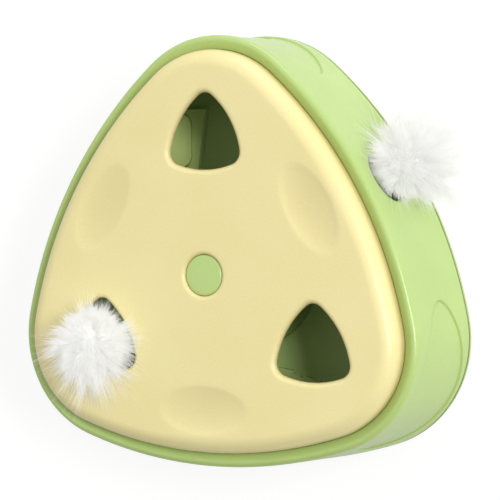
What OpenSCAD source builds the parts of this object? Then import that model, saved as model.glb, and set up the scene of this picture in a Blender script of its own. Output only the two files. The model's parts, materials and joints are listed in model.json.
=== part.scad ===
// Cat toy shaped like a wedge of cheese: a rounded triangular case with two sprung fur balls.
// It lies on its back: +Z points out of the holed cover, +Y to the charging port, the feet stand on z = 0.

/* [Case] */
// Centre to the middle of a side, at the back edge
side_reach = 94.4; // [90:0.1:100]
// Radius of each bowed side
side_radius = 219.5; // [200:0.5:260]
// Radius of each corner
corner_radius = 54.9; // [50:0.1:60]
// How much the rim is drawn in from the back edge
draft = 3.4; // [2:0.1:5]
// Wall of the shell
wall = 2.4; // [1.8:0.1:3]
// Height of the seam between back cover and shell
seam_z = 4.5; // [3.5:0.1:6]
// Height of the rim
rim_z = 61.5; // [58:0.5:66]
// Width of the rim seen round the cover
rim_w = 6.8; // [5:0.1:9]
// Rounding of the rim's outer edge
rim_round = 2.6; // [1:0.1:3.5]
// How far the rim slopes down to the cover
rim_dip = 1.9; // [0.5:0.1:2]
// Width of the ledge that carries the cover
ledge_w = 5.5; // [4:0.1:7]

/* [Back cover and feet] */
// Rounding of the back edge
back_round = 1.5; // [1:0.1:2.8]
// Height of the lip that enters the shell
lip_h = 3; // [2:0.1:4]
// Thickness of the lip
lip_t = 1.6; // [1:0.1:2.5]
// Diameter of a rubber foot
foot_d = 14; // [10:0.5:18]
// How far a foot stands out
foot_proud = 1; // [0.6:0.1:1.5]
// Depth of the pocket that holds a foot
foot_pocket = 1; // [0.6:0.1:1.5]
// Tip of a corner to the middle of its foot
corner_to_foot = 42.3; // [37:0.1:56]

/* [Cover] */
// Height of the cover above the rim
cover_rise = 8.8; // [8:0.1:12]
// Thickness of the cover
cover_t = 2.8; // [2.2:0.1:3.4]
// Rounding of the cover's edge
cover_roll = 8; // [5:0.1:9]
// Depth of the cover's foot below the rim
cover_sink = 2.8; // [2:0.1:4]
// Gap between the cover and what holds it
cover_gap = 0.3; // [0.2:0.05:0.5]

/* [Paw holes in the cover] */
// Tip of a corner to the middle of its hole
corner_to_hole = 51.3; // [49.3:0.1:54.3]
// Middle of a hole to the middle of its side
hole_reach = 15.5; // [14:0.1:17]
// Radius of a hole's bowed side
hole_radius = 43.4; // [36:0.1:60]
// Radius of a hole's corner
hole_corner = 6; // [4:0.1:8]
// Rounding of a hole's edge
hole_flare = 2.6; // [1.5:0.1:2.6]
// Middle of a side to the middle of its dimple
side_to_dimple = 30.9; // [28.4:0.1:34.4]
// Length of a dimple
dimple_l = 48; // [40:0.5:52]
// Width of a dimple
dimple_w = 24; // [18:0.5:28]
// Depth of a dimple
dimple_depth = 1.4; // [0.8:0.1:1.6]

/* [Holes and panels in the wall] */
// Radius of a side hole
side_hole_r = 12.4; // [11:0.1:14]
// Height of a side hole's middle
side_hole_z = 38.5; // [37:0.1:41]
// Rounding of a side hole's edge
side_hole_flare = 1.5; // [0.8:0.1:1.8]
// Length of a corner panel, straight across the corner
panel_l = 87; // [70:1:95]
// Height of a corner panel
panel_h = 47; // [40:0.5:48]
// Height of a corner panel's middle
panel_z = 31.5; // [31:0.1:33]
// How far a corner panel is sunk into the wall
panel_sink = 0.8; // [0.4:0.1:1]

/* [Power button] */
// Diameter of the button
button_d = 19.4; // [17:0.1:22]
// Travel of the button
button_travel = 1.2; // [0.6:0.1:1.5]
// How far the button lies below the cover's face
button_drop = 0.6; // [0.2:0.1:1]
// Radial clearance of the button in its bore
button_fit = 0.1; // [0.05:0.01:0.1]
// Rounding of the bore's edge
bore_flare = 2; // [1:0.1:2.4]
// Length of the guide below the cover
guide_h = 3.5; // [2.5:0.1:5]

/* [Tray and column] */
// Height of the tray's floor
tray_z = 21.5; // [20.5:0.1:23]
// Thickness of the tray
tray_t = 2; // [1.6:0.1:2.4]
// Height of the tray's upstand
upstand = 6.5; // [4:0.1:9]
// Gap between the tray and the shell
tray_gap = 0.3; // [0.2:0.05:0.5]
// Diameter of the centre column
column_d = 14; // [12:0.1:15]
// Bore of the column, for the button's wires
column_bore = 10; // [7:0.1:10.5]

/* [Drive] */
// Module of the gears
gear_module = 1; // [0.9:0.01:1.05]
// Teeth of the rotor gear
gear_teeth = 64; // [60:4:64]
// Teeth of the pinion
pinion_teeth = 16; // [15:1:17]
// Thickness of the gears
gear_t = 4; // [3:0.1:4.5]
// Diameter of the hub
hub_d = 20; // [18.5:0.1:22]
// Running clearance of the hub on the column
hub_fit = 0.05; // [0.03:0.01:0.1]
// Diameter of the geared motor
motor_d = 24; // [20:0.5:26]
// Height of the geared motor
motor_h = 8.4; // [6:0.1:8.5]
// Diameter of the motor's shaft
shaft_d = 3; // [2:0.1:4]

/* [Rotor] */
// Radius of the rotor frame's plate
frame_r = 37.5; // [36:0.1:39]
// Thickness of the rotor frame
frame_t = 3.5; // [3:0.1:4.5]
// Diameter of a rod and of a post
rod_d = 4; // [3:0.1:4.5]
// Sliding clearance on a rod or post
rod_fit = 0.06; // [0.03:0.01:0.1]
// Middle to each side rod
rod_side = 15; // [14:0.1:17]
// Length of a rod guide
lug_l = 8; // [6:0.1:9]
// Centre to the lift posts
post_ring = 36; // [34:0.5:40]
// Middle to each lift post
post_side = 7; // [6:0.1:7.5]
// Height of the lift carriage
carriage_h = 6; // [5:0.1:7]
// Middle of a side to the inner face of the yoke's bar
side_to_bar = 32.4; // [30.4:0.1:36.4]
// Thickness of the yoke's bar
bar_t = 5; // [4:0.1:6]
// Diameter of the stems that carry the balls
stem_d = 6; // [5:0.1:7]
// Wire of the ball springs
wire_d = 0.7; // [0.5:0.05:0.8]
// Mean diameter of the ball springs
spring_d = 6.2; // [5.6:0.1:6.6]
// Turns of a ball spring
spring_turns = 9; // [6:1:10]

/* [Fur balls] */
// Diameter of a ball's dense middle
ball_d = 34; // [30:0.5:36]
// Ball's middle above the cover
top_ball_out = 8.7; // [8.5:0.1:14]
// Ball's middle beyond the wall
side_ball_out = 12.6; // [12.5:0.1:16]
// Diameter of the sewn neck round the stem
neck_d = 11; // [9:0.1:13]
// Clearance of a neck on its stem
neck_fit = 0.1; // [0.05:0.01:0.3]

/* [Electronics] */
// Diameter of the battery cell
cell_d = 14; // [12:0.1:14.2]
// Length of the battery cell
cell_l = 50; // [40:0.5:54]
// Middle of a side to the cell's axis
side_to_cell = 32.4; // [28.4:0.1:36.4]
// Thickness of the circuit boards
board_t = 1.6; // [1:0.1:1.8]
// Length of the main board
board_l = 58; // [50:1:62]
// Width of the main board
board_w = 30; // [26:1:34]
// Middle of a side to the middle of the main board
side_to_board = 32.4; // [28.4:0.1:36.4]
// Width of the charging socket
socket_w = 9; // [8:0.1:10]
// Height of the charging socket
socket_h = 3.2; // [2.6:0.1:3.6]
// Depth of the charging socket
socket_l = 7.4; // [6:0.1:9]
// Height of the charging socket's middle
port_z = 20; // [18.5:0.1:21]
// Width of the dent round the charging opening
port_w = 20; // [16:0.1:22]
// Height of the dent round the charging opening
port_h = 10; // [8:0.1:11]

/* [Screws] */
// Diameter of a screw's shank
screw_d = 2.6; // [2:0.1:3]
// Diameter of a screw's head
head_d = 5; // [4.2:0.1:5.6]
// Height of a screw's head
head_h = 1.7; // [1.2:0.1:2]
// Diameter of a screw boss
boss_d = 8; // [7:0.1:9]
// Tip of a corner to its case screw
corner_to_screw = 24.3; // [22.3:0.1:28.3]

/* [Hidden] */

$fn = 48;
slack = 0.02;
seat_gap = 0.1;
bite = 0.5;
CORNERS = [90, 210, 330];
SIDES = [30, 150, 270];
side_steps = 8;
corner_steps = 12;
roll_step = 22.5;

// Heights, from the floor up
back_z = foot_proud;
floor_z = seam_z - seat_gap;
tray_under = tray_z - tray_t;
gear_z = tray_under - gear_t - 2;
frame_z = tray_z + 1;
frame_top = frame_z + frame_t;
ledge_z = rim_z - cover_sink;
cover_top = rim_z + cover_rise;
cover_under = cover_top - cover_t;

// Insets from the back edge's outline
foot_inset = draft + rim_w;
function wall_inset(z) = draft*(z - seam_z)/(rim_z - seam_z);
tray_inset = wall + wall_inset(tray_z + upstand) + tray_gap;

// Wall at the side holes and at the port
draft_angle = atan2(draft, rim_z - seam_z);
side_out = side_reach - wall_inset(side_hole_z);
side_in = side_out - wall;
arc_back = side_radius - side_reach;
corner_out = (sqrt(4*pow(side_radius - corner_radius, 2) - 3*pow(arc_back, 2)) - arc_back)/2;
corner_reach = corner_out + corner_radius;
port_out = corner_reach - wall_inset(port_z);

// Rings that follow the case's size
foot_ring = corner_reach - corner_to_foot;
hole_ring = corner_reach - corner_to_hole;
boss_ring = corner_reach - corner_to_screw;
dimple_ring = side_reach - side_to_dimple;
bar_ring = side_reach - side_to_bar;
cell_ring = side_reach - side_to_cell;
board_ring = side_reach - side_to_board;

// Button stack, from the cover down
button_r = button_d/2;
bore_r = button_r + button_fit;
flange_z = cover_under - guide_h - seat_gap;
flange_t = 1.4;
flange_r = button_r + 1.6;
nib_z = flange_z - flange_t - 1;
switch_top = nib_z - button_travel - 0.15;
switch_body = 3.5;
actuator_h = 0.7;
switch_board_z = switch_top - actuator_h - switch_body - board_t;
switch_board_r = 9;
holder_t = 2;
column_top = switch_board_z - holder_t;

// Rotor on its column
shoulder_z = gear_z - 5;
washer_t = 1;
clip_gap = 0.2;
clip_t = 1;
clip_bite = 0.8;

// Gears
gear_r = gear_module*gear_teeth/2;
pinion_r = gear_module*pinion_teeth/2;
motor_ring = gear_r + pinion_r;
backlash = 0.2;

// Rotor and its two plungers
rod_r = rod_d/2;
rod_z = side_hole_z;
lug_w = rod_d + 4;
lug_near = 4;
lug_far = lug_near + lug_l;
post_top = cover_under - 2;
bridge_t = 2.5;
carriage_top = post_top - bridge_t - seat_gap;
carriage_z = carriage_top - carriage_h;
carriage_pocket = carriage_h - 2.5;
sleeve_d = 7.4;
stem_r = stem_d/2;
lift_stem_top = cover_under - 0.4;
arm_t = 4;
arm_w = 9;
arm_top = carriage_z + arm_t;
top_ball_z = cover_top + top_ball_out;
yoke_stem_end = side_in - 2;
side_ball_ring = side_out + side_ball_out;
side_neck = 10;

// Screws and what they hold
screw_r = screw_d/2;
case_screw_l = 11;
tray_screw_l = 7;
cover_screw_l = 8;
motor_screw_l = 4;
ear_ring = boss_ring + 2;
ear_d = 9;
ear_t = wall;
ear_z = ledge_z - ear_t - 0.2;
tab_span = motor_d/2 + 4;
tab_t = 1.2;
tab_w = 7;
tab_l = 9;
tab_out = 1.5;
shaft_seat = 2.5;
seat_wall = 2;
seat_h = 3;
post_wall = 1.5;
tab_z = floor_z + motor_h - tab_t - 1;
board_post_h = 3.6;
board_post_d = 4.4;
board_peg_d = 2;
board_margin = 4;
board_z = floor_z + board_post_h + seat_gap;
port_board_z = port_z - socket_h/2 - board_t;
port_board_w = 22;
port_board_l = 11;
port_dent = 2;
port_pad = 2.5;
port_pad_w = socket_w + 5;
socket_front = port_out - port_dent - 1.6;
port_inner_r = corner_radius - wall - wall_inset(port_z);
port_corner_drop = port_inner_r - sqrt(pow(port_inner_r, 2) - pow(port_board_w/2, 2));
port_board_front = port_out - wall - max(port_pad, port_corner_drop) - 2*tray_gap;
port_board_back = port_board_front - port_board_l;

// Mouldings on the tray beside two paw holes, from the middle of the hole
plinth_top = tray_z + 5;
plinth = [[-50, -16], [-26.9, -16], [-22.7, 15], [-44, 15]];
lid_top = plinth_top + 1;
lid_x = [-45, -30.4];
lid_y = [-13.5, 12.5];
lid_r = 5;
groove = 0.6;
groove_deep = 2.4;
step_top = tray_z + 3;
step = [[-44, -13], [-36.8, -14.1], [-31.9, -14.9], [-25.5, -17.3], [-16.9, -19.8], [-11, -21],
    [-11, -29], [-44, -29]];
dash_turn = -20.6;
dash_long = 6.5;
dash_short = 1.5;

// Stations round a bowed triangle: [arc centre x, arc centre y, arc radius, direction]
function stations(reach, bow, corner, n_side, n_corner) =
    let (back = bow - reach)
    let (gap = bow - corner)
    let (out = (sqrt(4*gap*gap - 3*back*back) - back)/2)
    let (half = atan2(out*sin(60), out*cos(60) + back))
    [for (axis = SIDES) each concat(
        [for (i = [0:n_side])
            [-back*cos(axis), -back*sin(axis), bow, axis - half + 2*half*i/n_side]],
        [for (i = [1:n_corner - 1])
            [out*cos(axis + 60), out*sin(axis + 60), corner,
                axis + half + (120 - 2*half)*i/n_corner]])];
case_stations = stations(side_reach, side_radius, corner_radius, side_steps, corner_steps);
hole_stations = stations(hole_reach, hole_radius, hole_corner, 5, 6);

// Outline drawn in by an inset, flat or at a height
function outline(tri, inset) =
    [for (s = tri) [s[0] + (s[2] - inset)*cos(s[3]), s[1] + (s[2] - inset)*sin(s[3])]];
function ring(tri, inset, z) = [for (p = outline(tri, inset)) [p[0], p[1], z]];

// Points [inset, height] of a quarter round that starts upright at its foot
function quarter(inset, z, r, from, to, step) =
    [for (a = [from:step:to]) [inset + r*(1 - cos(a)), z + r*sin(a)]];

// Two triangles of a band between ring j and ring k, at station i of n
function band(i, j, k, n) =
    let (a = j*n + i)
    let (b = j*n + (i + 1)%n)
    let (c = k*n + (i + 1)%n)
    let (d = k*n + i)
    [[a, d, c], [a, c, b]];

// Solid of rings [inset, height], closed by a flat face at the first and at the last
module stack(tri, rings) {
    n = len(tri);
    m = len(rings);
    first = [for (i = [0:n - 1]) i];
    last = [for (i = [n - 1:-1:0]) (m - 1)*n + i];
    sides = [for (j = [0:m - 2]) for (i = [0:n - 1]) each band(i, j, j + 1, n)];
    polyhedron([for (p = rings) each ring(tri, p[0], p[1])], concat([first, last], sides));
}

// Endless ring whose section is a closed profile of [inset, height]
module hoop(tri, profile) {
    n = len(tri);
    m = len(profile);
    sides = [for (j = [0:m - 1]) for (i = [0:n - 1]) each band(i, j, (j + 1)%m, n)];
    polyhedron([for (p = profile) each ring(tri, p[0], p[1])], sides);
}

// Flat plate of the case's outline
module plate(inset, z0, z1) {
    translate([0, 0, z0])
        linear_extrude(z1 - z0)
            polygon(outline(case_stations, inset));
}

// Places a child at a distance from the centre, in each direction of a list
module around(directions, reach, z = 0) {
    for (a = directions)
        rotate([0, 0, a])
            translate([reach, 0, z])
                children();
}

// Places a child on both sides of the middle plane
module pair(side) {
    for (s = [-side, side])
        translate([0, s, 0])
            children();
}

// Cylinder that lies along +X
module along(x0, x1, r) {
    translate([x0, 0, 0])
        rotate([0, 90, 0])
            cylinder(r = r, h = x1 - x0);
}

// Box with its middle plane on y = 0
module block(x0, x1, w, z0, z1) {
    translate([x0, -w/2, z0])
        cube([x1 - x0, w, z1 - z0]);
}

// Flat slot with round ends, cut along +X
module slot(x0, x1, w, h) {
    straight = (w - h)/2;
    end = [for (a = [-90:15:90]) [straight + h/2*cos(a), h/2*sin(a)]];
    translate([x0, 0, 0])
        rotate([90, 0, 90])
            linear_extrude(x1 - x0)
                polygon(concat(end, [for (p = end) -p]));
}

// Points of a box with round corners, grown by a margin
function round_box(x, y, r, grow) =
    [for (q = [[x[1] - r, y[1] - r, 0], [x[0] + r, y[1] - r, 90], [x[0] + r, y[0] + r, 180],
        [x[1] - r, y[0] + r, 270]])
        for (a = [0:15:90]) [q[0] + (r + grow)*cos(q[2] + a), q[1] + (r + grow)*sin(q[2] + a)]];

// Upright solid on a flat outline, between two heights
module prism(points, z0, z1) {
    translate([0, 0, z0])
        linear_extrude(z1 - z0)
            polygon(points);
}

// Screw that points down, with its seat at z = 0
module screw(len) {
    chamfer = head_h/3;
    rotate_extrude()
        polygon([[0, head_h], [head_d/2 - chamfer, head_h], [head_d/2, head_h - chamfer], [head_d/2, 0],
            [screw_r, 0], [screw_r, -len + screw_r], [0, -len]]);
}

// Coil spring along +Z: one unbroken tube of six sides, eight rings to a turn
RINGS_PER_TURN = 8;
function coil_centre(i, turns, length, mean_r) =
    let (t = 360*i/RINGS_PER_TURN)
    [mean_r*cos(t), mean_r*sin(t), length*i/(turns*RINGS_PER_TURN)];
function coil_gap(turns, length, mean_r, wire) =
    let (last = turns*RINGS_PER_TURN)
    min([for (i = [0:last]) for (k = [i + RINGS_PER_TURN/2:last])
        norm(coil_centre(i, turns, length, mean_r) - coil_centre(k, turns, length, mean_r))]) - wire;
module coil(turns, length, mean_d, wire) {
    sides = 6;
    rise = length - wire;
    last = turns*RINGS_PER_TURN;
    points = [for (i = [0:last]) for (s = [0:sides - 1])
        let (t = 360*i/RINGS_PER_TURN)
        let (r = mean_d/2 + wire/2*cos(360*s/sides))
        let (z = wire/2 + rise*i/last + wire/2*sin(360*s/sides))
        [r*cos(t), r*sin(t), z]];
    skin = [for (i = [0:last - 1]) for (s = [0:sides - 1])
        let (a = i*sides + s)
        let (b = i*sides + (s + 1)%sides)
        each [[a, a + sides, b + sides], [a, b + sides, b]]];
    start = [for (s = [0:sides - 1]) s];
    end = [for (s = [sides - 1:-1:0]) last*sides + s];
    polyhedron(points, concat([start, end], skin));
    echo("least gap in a spring", coil_gap(turns, rise, mean_d/2, wire));
}

// Involute gear of a pitch radius, with a tooth on +X
function flank(r, base) =
    r <= base ? 0 : let (t = sqrt(pow(r/base, 2) - 1)) t*180/PI - atan(t);
module gear_outline(teeth) {
    pressure = 20;
    pitch = gear_module*teeth/2;
    base = pitch*cos(pressure);
    root = pitch - 1.25*gear_module;
    tip = pitch + 0.9*gear_module;
    half = 90/teeth - backlash/4/pitch*180/PI + flank(pitch, base);
    radii = [for (i = [0:4]) root + (tip - root)*i/4];
    polygon([for (k = [0:teeth - 1]) each concat(
        [for (r = radii) let (a = 360*k/teeth - half + flank(r, base)) [r*cos(a), r*sin(a)]],
        [for (i = [4:-1:0])
            let (a = 360*k/teeth + half - flank(radii[i], base))
            [radii[i]*cos(a), radii[i]*sin(a)]])]);
}

// Fur ball along +Z: dense middle at a height, with a sewn neck that slips over its stem
module fur_ball(middle, neck_end, stem_end) {
    steps = 14;
    foot = asin(neck_d/ball_d);
    socket_r = stem_r + neck_fit;
    roof = stem_end + seat_gap;
    curve = [for (i = [0:steps])
        let (a = foot + (180 - foot)*i/steps)
        [ball_d/2*sin(a), middle - ball_d/2*cos(a)]];
    rotate_extrude()
        polygon(concat([[0, roof], [socket_r, roof], [socket_r, neck_end], [neck_d/2, neck_end]], curve));
}

module back_cover() {
    color("#b4cf81")
    difference() {
        union() {
            stack(case_stations, concat(
                [for (a = [90:-30:0])
                    [back_round*(1 - cos(a)), back_z + back_round*(1 - sin(a))]],
                [[0, floor_z]]));
            hoop(case_stations, [
                [wall + cover_gap, floor_z - 0.5],
                [wall + cover_gap, floor_z + lip_h],
                [wall + cover_gap + lip_t, floor_z + lip_h],
                [wall + cover_gap + lip_t, floor_z - 0.5]]);
            around(CORNERS, boss_ring, floor_z - 0.5)
                cylinder(d = boss_d, h = lip_h + 0.5);
            motor_seat();
            board_posts();
        }
        around(CORNERS, boss_ring, back_z - 1) {
            cylinder(r = screw_r + slack, h = lip_h + seam_z + 2);
            cylinder(d = head_d + 0.8, h = head_h + 1.6);
        }
        around(CORNERS, foot_ring, back_z - 1)
            cylinder(d = foot_d + 0.2, h = foot_pocket + 1);
        motor_screw_holes();
    }
}

// Ring and posts on the back cover that hold the geared motor
module motor_seat() {
    around([90], motor_ring, floor_z - bite) {
        difference() {
            cylinder(d = motor_d + 2*seat_wall, h = seat_h + bite);
            translate([0, 0, -1])
                cylinder(d = motor_d + 2*seat_gap, h = seat_h + 3);
        }
        pair(tab_span)
            cylinder(d = screw_d + 2*post_wall, h = tab_z - seat_gap - floor_z + bite);
    }
}

module motor_screw_holes() {
    around([90], motor_ring, tab_z - motor_screw_l - 0.5)
        pair(tab_span)
            cylinder(r = screw_r + slack, h = motor_screw_l + 2);
}

// Posts on the back cover that carry the main board
module board_posts() {
    around([270], board_ring, floor_z - bite)
        for (x = [-1, 1])
            translate([x*(board_w/2 - board_margin), 0, 0])
                pair(board_l/2 - board_margin) {
                    cylinder(d = board_post_d, h = board_post_h + bite);
                    cylinder(d = board_peg_d, h = board_post_h + bite + board_t);
                }
}

module rubber_feet() {
    h = foot_proud + foot_pocket - slack;
    edge = foot_proud/2;
    color("#3c3d3a")
    around(CORNERS, foot_ring)
        rotate_extrude()
            polygon([[0, 0], [foot_d/2 - edge, 0], [foot_d/2, edge], [foot_d/2, h], [0, h]]);
}

module main_shell() {
    color("#b7d483")
    difference() {
        union() {
            hoop(case_stations, concat(
                [[0, seam_z]],
                quarter(wall_inset(rim_z - rim_round), rim_z - rim_round, rim_round, 0, 90, 30),
                [[foot_inset - cover_gap, rim_z - rim_dip],
                    [foot_inset - cover_gap, ledge_z],
                    [foot_inset + ledge_w, ledge_z],
                    [foot_inset + ledge_w, ledge_z - wall],
                    [wall + wall_inset(ledge_z - wall), ledge_z - wall],
                    [wall, seam_z]]));
            around(CORNERS, boss_ring) {
                translate([0, 0, floor_z + lip_h + seat_gap])
                    cylinder(d = boss_d, h = tray_under - seat_gap - floor_z - lip_h - seat_gap);
                block(boss_d/2 - 0.5, corner_reach - wall_inset(tray_z) - wall/2 - boss_ring, wall*0.8,
                    floor_z + lip_h + 1, port_board_z - seat_gap);
            }
            around(CORNERS, ear_ring, ear_z) {
                cylinder(d = ear_d, h = ear_t);
                block(0, corner_reach - foot_inset - ledge_w + 1 - ear_ring, ear_d, 0, ear_t);
            }
            port_shelf();
            rotate([0, 0, 90])
                block(port_out - wall - port_pad, port_out - wall/2, port_pad_w, port_z - port_h/2,
                    port_z + port_h/2);
        }
        corner_panels();
        around(CORNERS, boss_ring, floor_z)
            cylinder(r = screw_r + slack, h = tray_z);
        around(CORNERS, ear_ring, ear_z - 1)
            cylinder(r = screw_r + 0.2, h = ear_t + 2);
        around(SIDES, side_out, side_hole_z)
            rotate([0, 90 - draft_angle, 0])
                side_hole_cut();
        rotate([0, 0, 90])
            translate([0, 0, port_z]) {
                slot(port_out - wall*2 - port_pad, port_out + 1, socket_w + 0.6, socket_h + 0.6);
                slot(port_out - port_dent, port_out + 3, port_w, port_h);
            }
    }
}

// Round hole through the wall whose outer edge is rolled
module side_hole_cut() {
    depth = wall*2.5;
    curve = [for (a = [0:25:75])
        [side_hole_r + side_hole_flare*(1 - cos(a)), side_hole_flare*(sin(a) - 1)]];
    end = side_hole_r + side_hole_flare;
    start_turn = 20;
    rotate([0, 0, start_turn])
        rotate_extrude()
            polygon(concat([[0, -depth], [side_hole_r, -depth]], curve,
                [[end + 1, 1.5], [end + 1, 5], [0, 5]]));
}

// Oval panels sunk into the wall round the corners
module corner_panels() {
    intersection() {
        hoop(case_stations, [
            [-1, seam_z],
            [wall_inset(rim_z - rim_round) - 1, rim_z - rim_round],
            [wall_inset(rim_z - rim_round) + panel_sink, rim_z - rim_round],
            [panel_sink, seam_z]]);
        around(CORNERS, 0, panel_z)
            rotate([90, 0, 90])
                linear_extrude(corner_reach + 5)
                    polygon([for (a = [0:9:351]) [panel_l/2*cos(a), panel_h/2*sin(a)]]);
    }
}

// Ribs inside the apex that carry the charging board
module port_shelf() {
    rib_w = 2;
    rotate([0, 0, 90])
        pair(port_board_w/2 - 2)
            block(port_board_back + 2, port_out - wall/2, rib_w,
                floor_z + lip_h + 1, port_board_z - seat_gap);
}

module top_cover() {
    color("#efe2a4")
    difference() {
        union() {
            stack(case_stations, concat(
                [for (a = [90:-roll_step:0])
                    [foot_inset + cover_roll - (cover_roll - cover_t)*cos(a),
                        cover_top - cover_roll + (cover_roll - cover_t)*sin(a)]],
                [[foot_inset + cover_t, ledge_z + seat_gap], [foot_inset, ledge_z + seat_gap]],
                quarter(foot_inset, cover_top - cover_roll, cover_roll, 0, 90, roll_step)));
            translate([0, 0, cover_under - guide_h])
                cylinder(r = bore_r + 1.8, h = guide_h + 1);
            around(CORNERS, ear_ring, ledge_z + seat_gap)
                cylinder(d = boss_d - 1, h = cover_under + 1 - ledge_z - seat_gap);
        }
        around(CORNERS, hole_ring)
            rotate([0, 0, -CORNERS[0]])
                hole_cut();
        for (a = SIDES)
            rotate([0, 0, a])
                dimple_cut();
        button_bore();
        around(CORNERS, ear_ring, ledge_z)
            cylinder(r = screw_r + slack, h = cover_screw_l);
    }
}

// Paw hole with a rolled edge, cut through the cover
module hole_cut() {
    curve = [for (a = [0:25:75])
        [-hole_flare*(1 - cos(a)), cover_top - hole_flare*(1 - sin(a))]];
    stack(hole_stations, concat([[0, cover_under - 1]], curve, [[-hole_flare - 0.6, cover_top + 0.5]]));
}

// Shallow oval hollow in the cover's face
module dimple_cut() {
    across = (pow(dimple_w/2, 2) + pow(dimple_depth, 2))/(2*dimple_depth);
    lengthways = (pow(dimple_l/2, 2) + pow(dimple_depth, 2))/(2*dimple_depth);
    sweep = 40;
    translate([dimple_ring, 0, cover_top - dimple_depth + lengthways])
        rotate([0, 90, 0])
            rotate([0, 0, -sweep/2])
                rotate_extrude(angle = sweep)
                    translate([lengthways - across, 0])
                        circle(r = across);
}

// Bore of the button, opened out at the face
module button_bore() {
    curve = [for (a = [0:25:75])
        [bore_r + bore_flare*(1 - cos(a)), cover_top - bore_flare*(1 - sin(a))]];
    rotate_extrude()
        polygon(concat([[0, cover_under - guide_h - 1], [bore_r, cover_under - guide_h - 1]], curve,
            [[bore_r + bore_flare + 0.5, cover_top + 0.5], [0, cover_top + 0.5]]));
}

module inner_tray() {
    color("#9dbb66")
    difference() {
        union() {
            plate(tray_inset, tray_under, tray_z);
            difference() {
                plate(tray_inset, tray_z - 0.5, tray_z + upstand);
                plate(tray_inset + 1.6, tray_z - 1, tray_z + upstand + 1);
            }
            at_hole(CORNERS[0])
                plinth_block();
            at_hole(CORNERS[2])
                prism(step, tray_under + bite, step_top);
        }
        at_hole(CORNERS[0])
            prism(round_box(lid_x, lid_y, lid_r, -tray_t), tray_under - 1, plinth_top - tray_t - groove);
        at_hole(CORNERS[2])
            step_cuts();
        translate([0, 0, tray_under - 1])
            cylinder(r = hub_d/2 + 0.6, h = tray_t + 2);
        around(CORNERS, boss_ring, tray_under - 1)
            cylinder(r = screw_r + 0.2, h = tray_t + 2);
        rotate([0, 0, 90])
            block(port_board_back - 1.5, corner_reach, port_board_w + 4, tray_under - 1,
                tray_z + upstand + 1);
    }
}

// Places a child at the middle of a paw hole, without turning it
module at_hole(direction) {
    translate([hole_ring*cos(direction), hole_ring*sin(direction), 0])
        children();
}

// Plinth with a rounded lid, and a groove round the lid
module plinth_block() {
    difference() {
        prism(plinth, tray_under + bite, plinth_top);
        prism(round_box(lid_x, lid_y, lid_r, groove), plinth_top - groove_deep, plinth_top + 1);
    }
    prism(round_box(lid_x, lid_y, lid_r, 0), tray_under + bite, lid_top);
}

// Two short slots along the step's edge
module step_cuts() {
    for (q = [[step[2], dash_long], [step[4], dash_short]])
        translate([q[0][0], q[0][1], 0])
            rotate([0, 0, dash_turn])
                block(0, q[1], 4*groove, step_top - groove_deep, step_top + 1);
}

module centre_column() {
    wire_slot = 4;
    color("#d9dcd2")
    difference() {
        union() {
            translate([0, 0, floor_z + slack]) {
                cylinder(d = column_d, h = column_top - floor_z - slack);
                cylinder(d = column_d + 6, h = shoulder_z - floor_z - slack);
                cylinder(d = column_d + 14, h = 1.6);
            }
        }
        translate([0, 0, floor_z - 1])
            cylinder(d = column_bore, h = column_top);
        translate([0, 0, frame_top + clip_gap - slack])
            difference() {
                cylinder(d = column_d + 2, h = clip_t + 2*slack);
                translate([0, 0, -1])
                    cylinder(r = column_d/2 - clip_bite, h = clip_t + 2);
            }
        block(0, column_d, wire_slot, floor_z + 2, shoulder_z - 1);
    }
}

module thrust_washer() {
    color("#c9b37a")
    translate([0, 0, shoulder_z + slack])
        difference() {
            cylinder(d = column_d + 5.6, h = washer_t - 2*slack);
            translate([0, 0, -1])
                cylinder(d = column_d + 2*hub_fit, h = washer_t + 2);
        }
}

// Open ring that snaps into the column's groove above the rotor
module hub_clip() {
    color("#8d9197")
    translate([0, 0, frame_top + clip_gap])
        difference() {
            cylinder(d = column_d + 5, h = clip_t);
            translate([0, 0, -1])
                cylinder(r = column_d/2 - clip_bite + slack, h = clip_t + 2);
            block(0, column_d, column_d/2, -1, clip_t + 1);
        }
}

module switch_holder() {
    plug_l = 8;
    plug_r = column_bore/2 - slack;
    color("#d9dcd2")
    translate([0, 0, column_top + slack])
        rotate_extrude()
            polygon([[plug_r - 1.4, -plug_l], [plug_r, -plug_l], [plug_r, 0],
                [switch_board_r + 1.2, 0], [switch_board_r + 1.2, holder_t + 0.8],
                [switch_board_r + seat_gap, holder_t + 0.8],
                [switch_board_r + seat_gap, holder_t - 2*slack],
                [plug_r - 1.4, holder_t - 2*slack]]);
}

module button_board() {
    color("#2f6b46")
    translate([0, 0, switch_board_z])
        cylinder(r = switch_board_r, h = board_t - slack);
}

module button_switch() {
    body = 6;
    color("#33353a")
    translate([0, 0, switch_board_z + board_t]) {
        block(-body/2, body/2, body, 0, switch_body);
        translate([0, 0, switch_body - 0.5])
            cylinder(d = 3.4, h = actuator_h + 0.5);
    }
}

module button_spring() {
    spring_wire = 0.6;
    color("#a8adb2")
    translate([0, 0, switch_board_z + board_t + slack])
        coil(3, flange_z - flange_t - switch_board_z - board_t - 2*slack, 13, spring_wire);
}

module power_button() {
    face = cover_top - button_drop;
    edge = 1.2;
    rim = [for (a = [0:30:90]) [button_r - edge*(1 - cos(a)), face - edge*(1 - sin(a))]];
    skirt_r = button_r - 1.8;
    roof = face - 2.4;
    nib_r = 2.5;
    color("#bcd983")
    rotate_extrude()
        polygon(concat(
            [[0, nib_z], [nib_r, nib_z], [nib_r, roof], [skirt_r, roof], [skirt_r, flange_z - flange_t],
                [flange_r, flange_z - flange_t], [flange_r, flange_z], [button_r, flange_z]],
            rim, [[0, face]]));
}

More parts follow.
